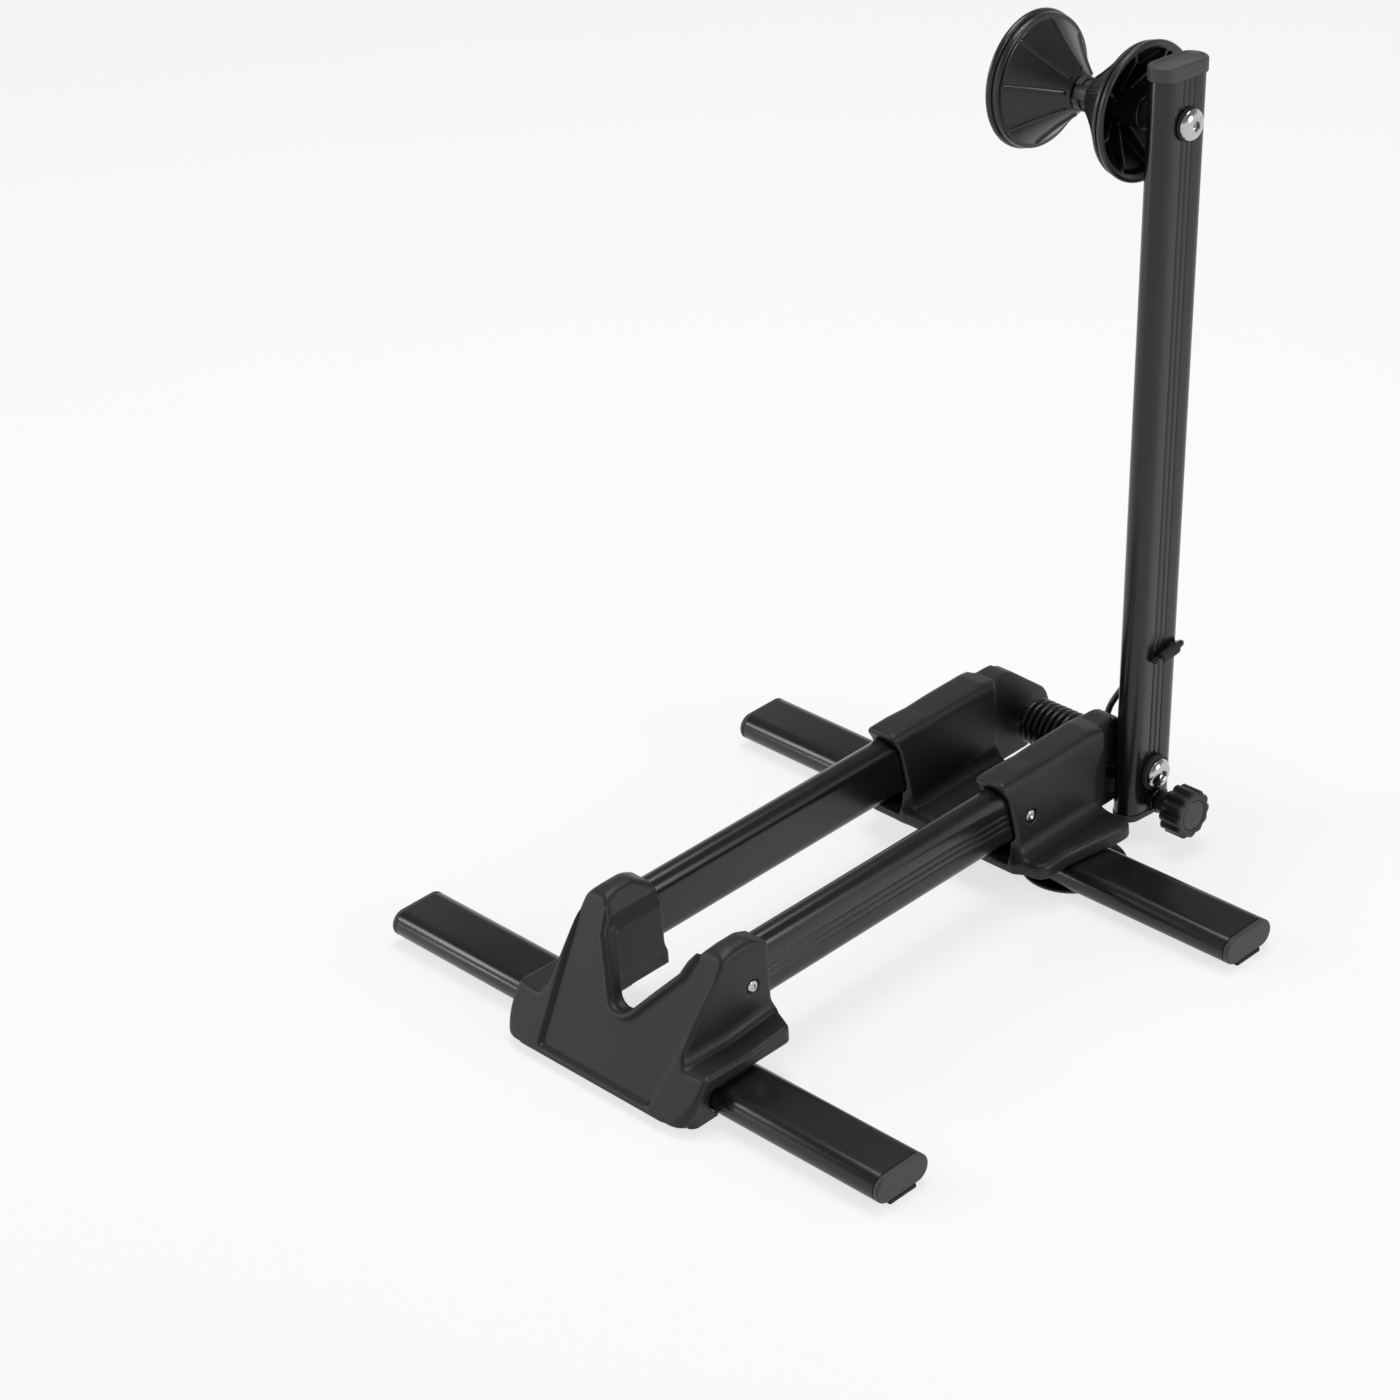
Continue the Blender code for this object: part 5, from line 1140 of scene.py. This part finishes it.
def housing_field(step):
    """Towers, bridge, skirt and lugs, joined with fillets, then cut."""
    low, high = (-75.5, 213.0, 16.5), (75.5, 344.5, 77.0)
    (xs, ys, zs), (x, y, z) = cells(low, high, step)
    ax, half = np.abs(x), np.abs(xs)

    # Two towers, their tops dipping a little along the way, and the bridge between them.
    side = rounded([(HOUSING_FRONT, 0.0, 0), (HOUSING_FRONT, 23.0, 0), (227.0, 24.5, 2.0),
                    (227.0, 36.0, 20.0), (221.0, 64.0, 12.0), (215.0, HOUSING_TOP, 3.0),
                    (288.0, HOUSING_TOP, 5.0), (297.0, 72.0, 0), (297.0, 0.0, 0)])
    side = outline_distance(side, ys, zs)[None]
    sink = np.interp(y, (215.0, 232.0, 246.0, 262.0, HOUSING_REAR), (0.4, 0.0, 0.9, 0.2, 0.0))
    above = z - HOUSING_TOP + sink.astype(np.float32)
    towers = both(both(both(TOWER_IN - ax, ax - TOWER_OUT), above, 6.0), side, 1.6)
    bridge = both(both(ax - TOWER_OUT, z - BRIDGE_TOP), both(HOUSING_FRONT - y, y - 288.0, 2.0), 1.0)
    body = joined(towers, bridge, 3.5)

    # The skirt, which flares out towards the rear.
    plan = rounded([(PAST, HOUSING_FRONT, 0), (TOWER_OUT, HOUSING_FRONT, 3.0), (67.5, 225.8, 7.0),
                    (67.5, 245.0, 30.0), (73.7, 281.0, 20.0), (73.7, 292.5, 9.0), (LUG_OUT, HOUSING_REAR, 0),
                    (PAST, HOUSING_REAR, 0)])
    plan = outline_distance(plan, half, ys)[:, :, None]
    top = np.interp(y, (223.0, 250.0, 280.0, HOUSING_REAR), (26.6, 27.3, 27.7, 27.2)).astype(np.float32)
    skirt = both(plan, z - top + np.clip((70.0 - ax) * 0.035, 0.0, 0.5), 3.0)
    body = joined(body, skirt, 8.0)

    # The lugs, round about the pivot, and the flat underside.
    lug = [(270.0, ABOVE_FOOT), (PIVOT_Y, ABOVE_FOOT)] + arc((PIVOT_Y, PIVOT_Z), LUG_R, -88.0, 40.0, 30)
    lug += [(314.0, 70.0), (310.0, 71.6), (306.0, 72.0), (270.0, 72.0)]
    lug = outline_distance(lug, ys, zs)[None]
    body = joined(body, both(both(LUG_IN - ax, ax - LUG_OUT), lug, 1.2), 1.5)
    body = both(body, ABOVE_FOOT - z, 0.8)

    # Holes for the rails, recess for the post, holes for shaft and screws, hollow under the rails, pin holes.
    body = less(body, both(rail_socket(ax, z), y - (RAIL_ENDS[1] + SEAT)), 0.7)
    radial = np.hypot(y - PIVOT_Y, z - PIVOT_Z)
    body = less(body, both(radial - RECESS_R, LUG_OUT - 0.1 - ax), 3.4)
    body = less(body, both(radial - SHAFT_BORE, 28.0 - ax))
    body = drilled(body, ax, y, z, "housing_screw")
    under = np.abs(ax - RAIL_X) - 7.9 + np.clip((z - 22.4) * 0.35, 0.0, 5.0)
    under = both(both(22.4 - z, under), z - 40.0)
    body = less(body, both(under, y - 246.0), 0.5)
    body = less(body, pin_hole(ax, y - FOOT_SPAN, z))

    # The stud's lane, an arc about the pivot in the right lug's outer face.
    angle = np.degrees(np.arctan2(z - PIVOT_Z, y - PIVOT_Y))
    off_middle = 180.0 - np.abs((angle - LANE_MIDDLE) % 360.0 - 180.0)
    lane = both(np.abs(radial - LANE_R) - LANE_HALF, (off_middle - LANE_SWEEP) * 0.28)
    return less(body, both(lane, 38.5 - x)), low


moulding(housing_field, HOUSING_STEP, MOULDED, {"rear_housing": on_stand})

# %% [markdown]
# ## Floor and light
#
# The photograph has a plain white ground and large soft lamps. The floor here is one big pale sheet that
# mostly glows white, and the part that doesn't glow keeps the stand's shadow. The world is white to the
# camera, to gloss and to glass, but dimmer as a lamp, and like a studio it is greyer overhead than at the
# horizon. The same three kinds of ray make the floor glow, so one function picks them out. A broad lamp
# above and one on each side draw the long soft lines on the tubes, and a low one at the front left draws the
# thin bright line along the round side of each foot.

# %% Stage
scene = bpy.context.scene
floor_mesh = bpy.data.meshes.new("floor")
spread = np.array([[-4.0, -4.0], [4.0, -4.0], [4.0, 4.0], [-4.0, 4.0]])
floor_mesh.from_pydata(np.column_stack([spread, np.zeros(4)]).tolist(), [], [(0, 1, 2, 3)])
floor = bpy.data.objects.new("floor", floor_mesh)
scene.collection.objects.link(floor)
sheet = Finish("pale_floor", specular=0.2)
sheet.done(sheet.mix(sheet.noise(3.0, 3.0), (0.93, 0.93, 0.93), (0.95, 0.95, 0.95)), 0.8)
floor_mesh.materials.append(sheet.material)


def seen_directly(graph):
    """1 for rays from the camera, from gloss and through glass, and 0 for rays that light a surface."""
    path = graph.tree.nodes.new("ShaderNodeLightPath")
    camera, gloss, glass = (Shade(graph, path.outputs[f"Is {kind} Ray"])
                            for kind in ("Camera", "Glossy", "Transmission"))
    return camera.maths("MAXIMUM", gloss).maths("MAXIMUM", glass)


def blended(graph, one, other, share, output):
    """Sends a mix of two shaders to the tree's output node."""
    graph.feed(graph.tree.nodes[output].inputs["Surface"],
               graph.node("MixShader", inputs={0: share, 1: one, 2: other}))


FLOOR_GLOW, LAMP_STRENGTH, WHITE = 0.72, 0.30, (1.0, 1.0, 1.0, 1.0)
blended(sheet, Shade(sheet, sheet.shader.outputs[0]), sheet.node("Emission"),
        seen_directly(sheet) * FLOOR_GLOW, "Material Output")

world = bpy.data.worlds.new("studio")
scene.world = world
world.use_nodes = True
studio = Graph(world.node_tree)
height = studio.node("SeparateXYZ", inputs={0: studio.node("TexCoord", output="Generated")}, output="Z")
ceiling = studio.node("MapRange", inputs={"Value": height, "From Min": 0.12, "From Max": 0.48,
                                          "To Min": 1.0, "To Max": 0.26})
seen = world.node_tree.nodes["Background"]
studio.feed(seen.inputs["Color"], WHITE)
studio.feed(seen.inputs["Strength"], ceiling)
lamp = studio.node("Background", inputs={"Color": WHITE, "Strength": LAMP_STRENGTH})
blended(studio, lamp, Shade(studio, seen.outputs[0]), seen_directly(studio), "World Output")


def lamp_at(name, place, aim, size, watts):
    """Square soft lamp at a place, turned to its aim."""
    light = bpy.data.lights.new(name, "AREA")
    light.shape, light.size, light.energy = "SQUARE", size, watts
    made = bpy.data.objects.new(name, light)
    made.location = place
    made.rotation_euler = (Vector(aim) - Vector(place)).to_track_quat("-Z", "Y").to_euler()
    scene.collection.objects.link(made)


lamp_at("lamp_above", (-0.3, 0.4, 2.2), (0.0, 0.0, 0.1), 1.1, 24.0)
lamp_at("lamp_left", (-1.8, -1.4, 1.3), (0.0, 0.0, 0.15), 0.7, 14.0)
lamp_at("lamp_low", (-1.35, -1.6, 0.16), (0.0, 0.0, 0.05), 0.22, 2.2)
lamp_at("lamp_right", (2.0, 0.6, 1.0), (0.0, 0.1, 0.15), 0.8, 15.0)
scene.view_settings.view_transform = "Standard"
print("stage and four lamps set")
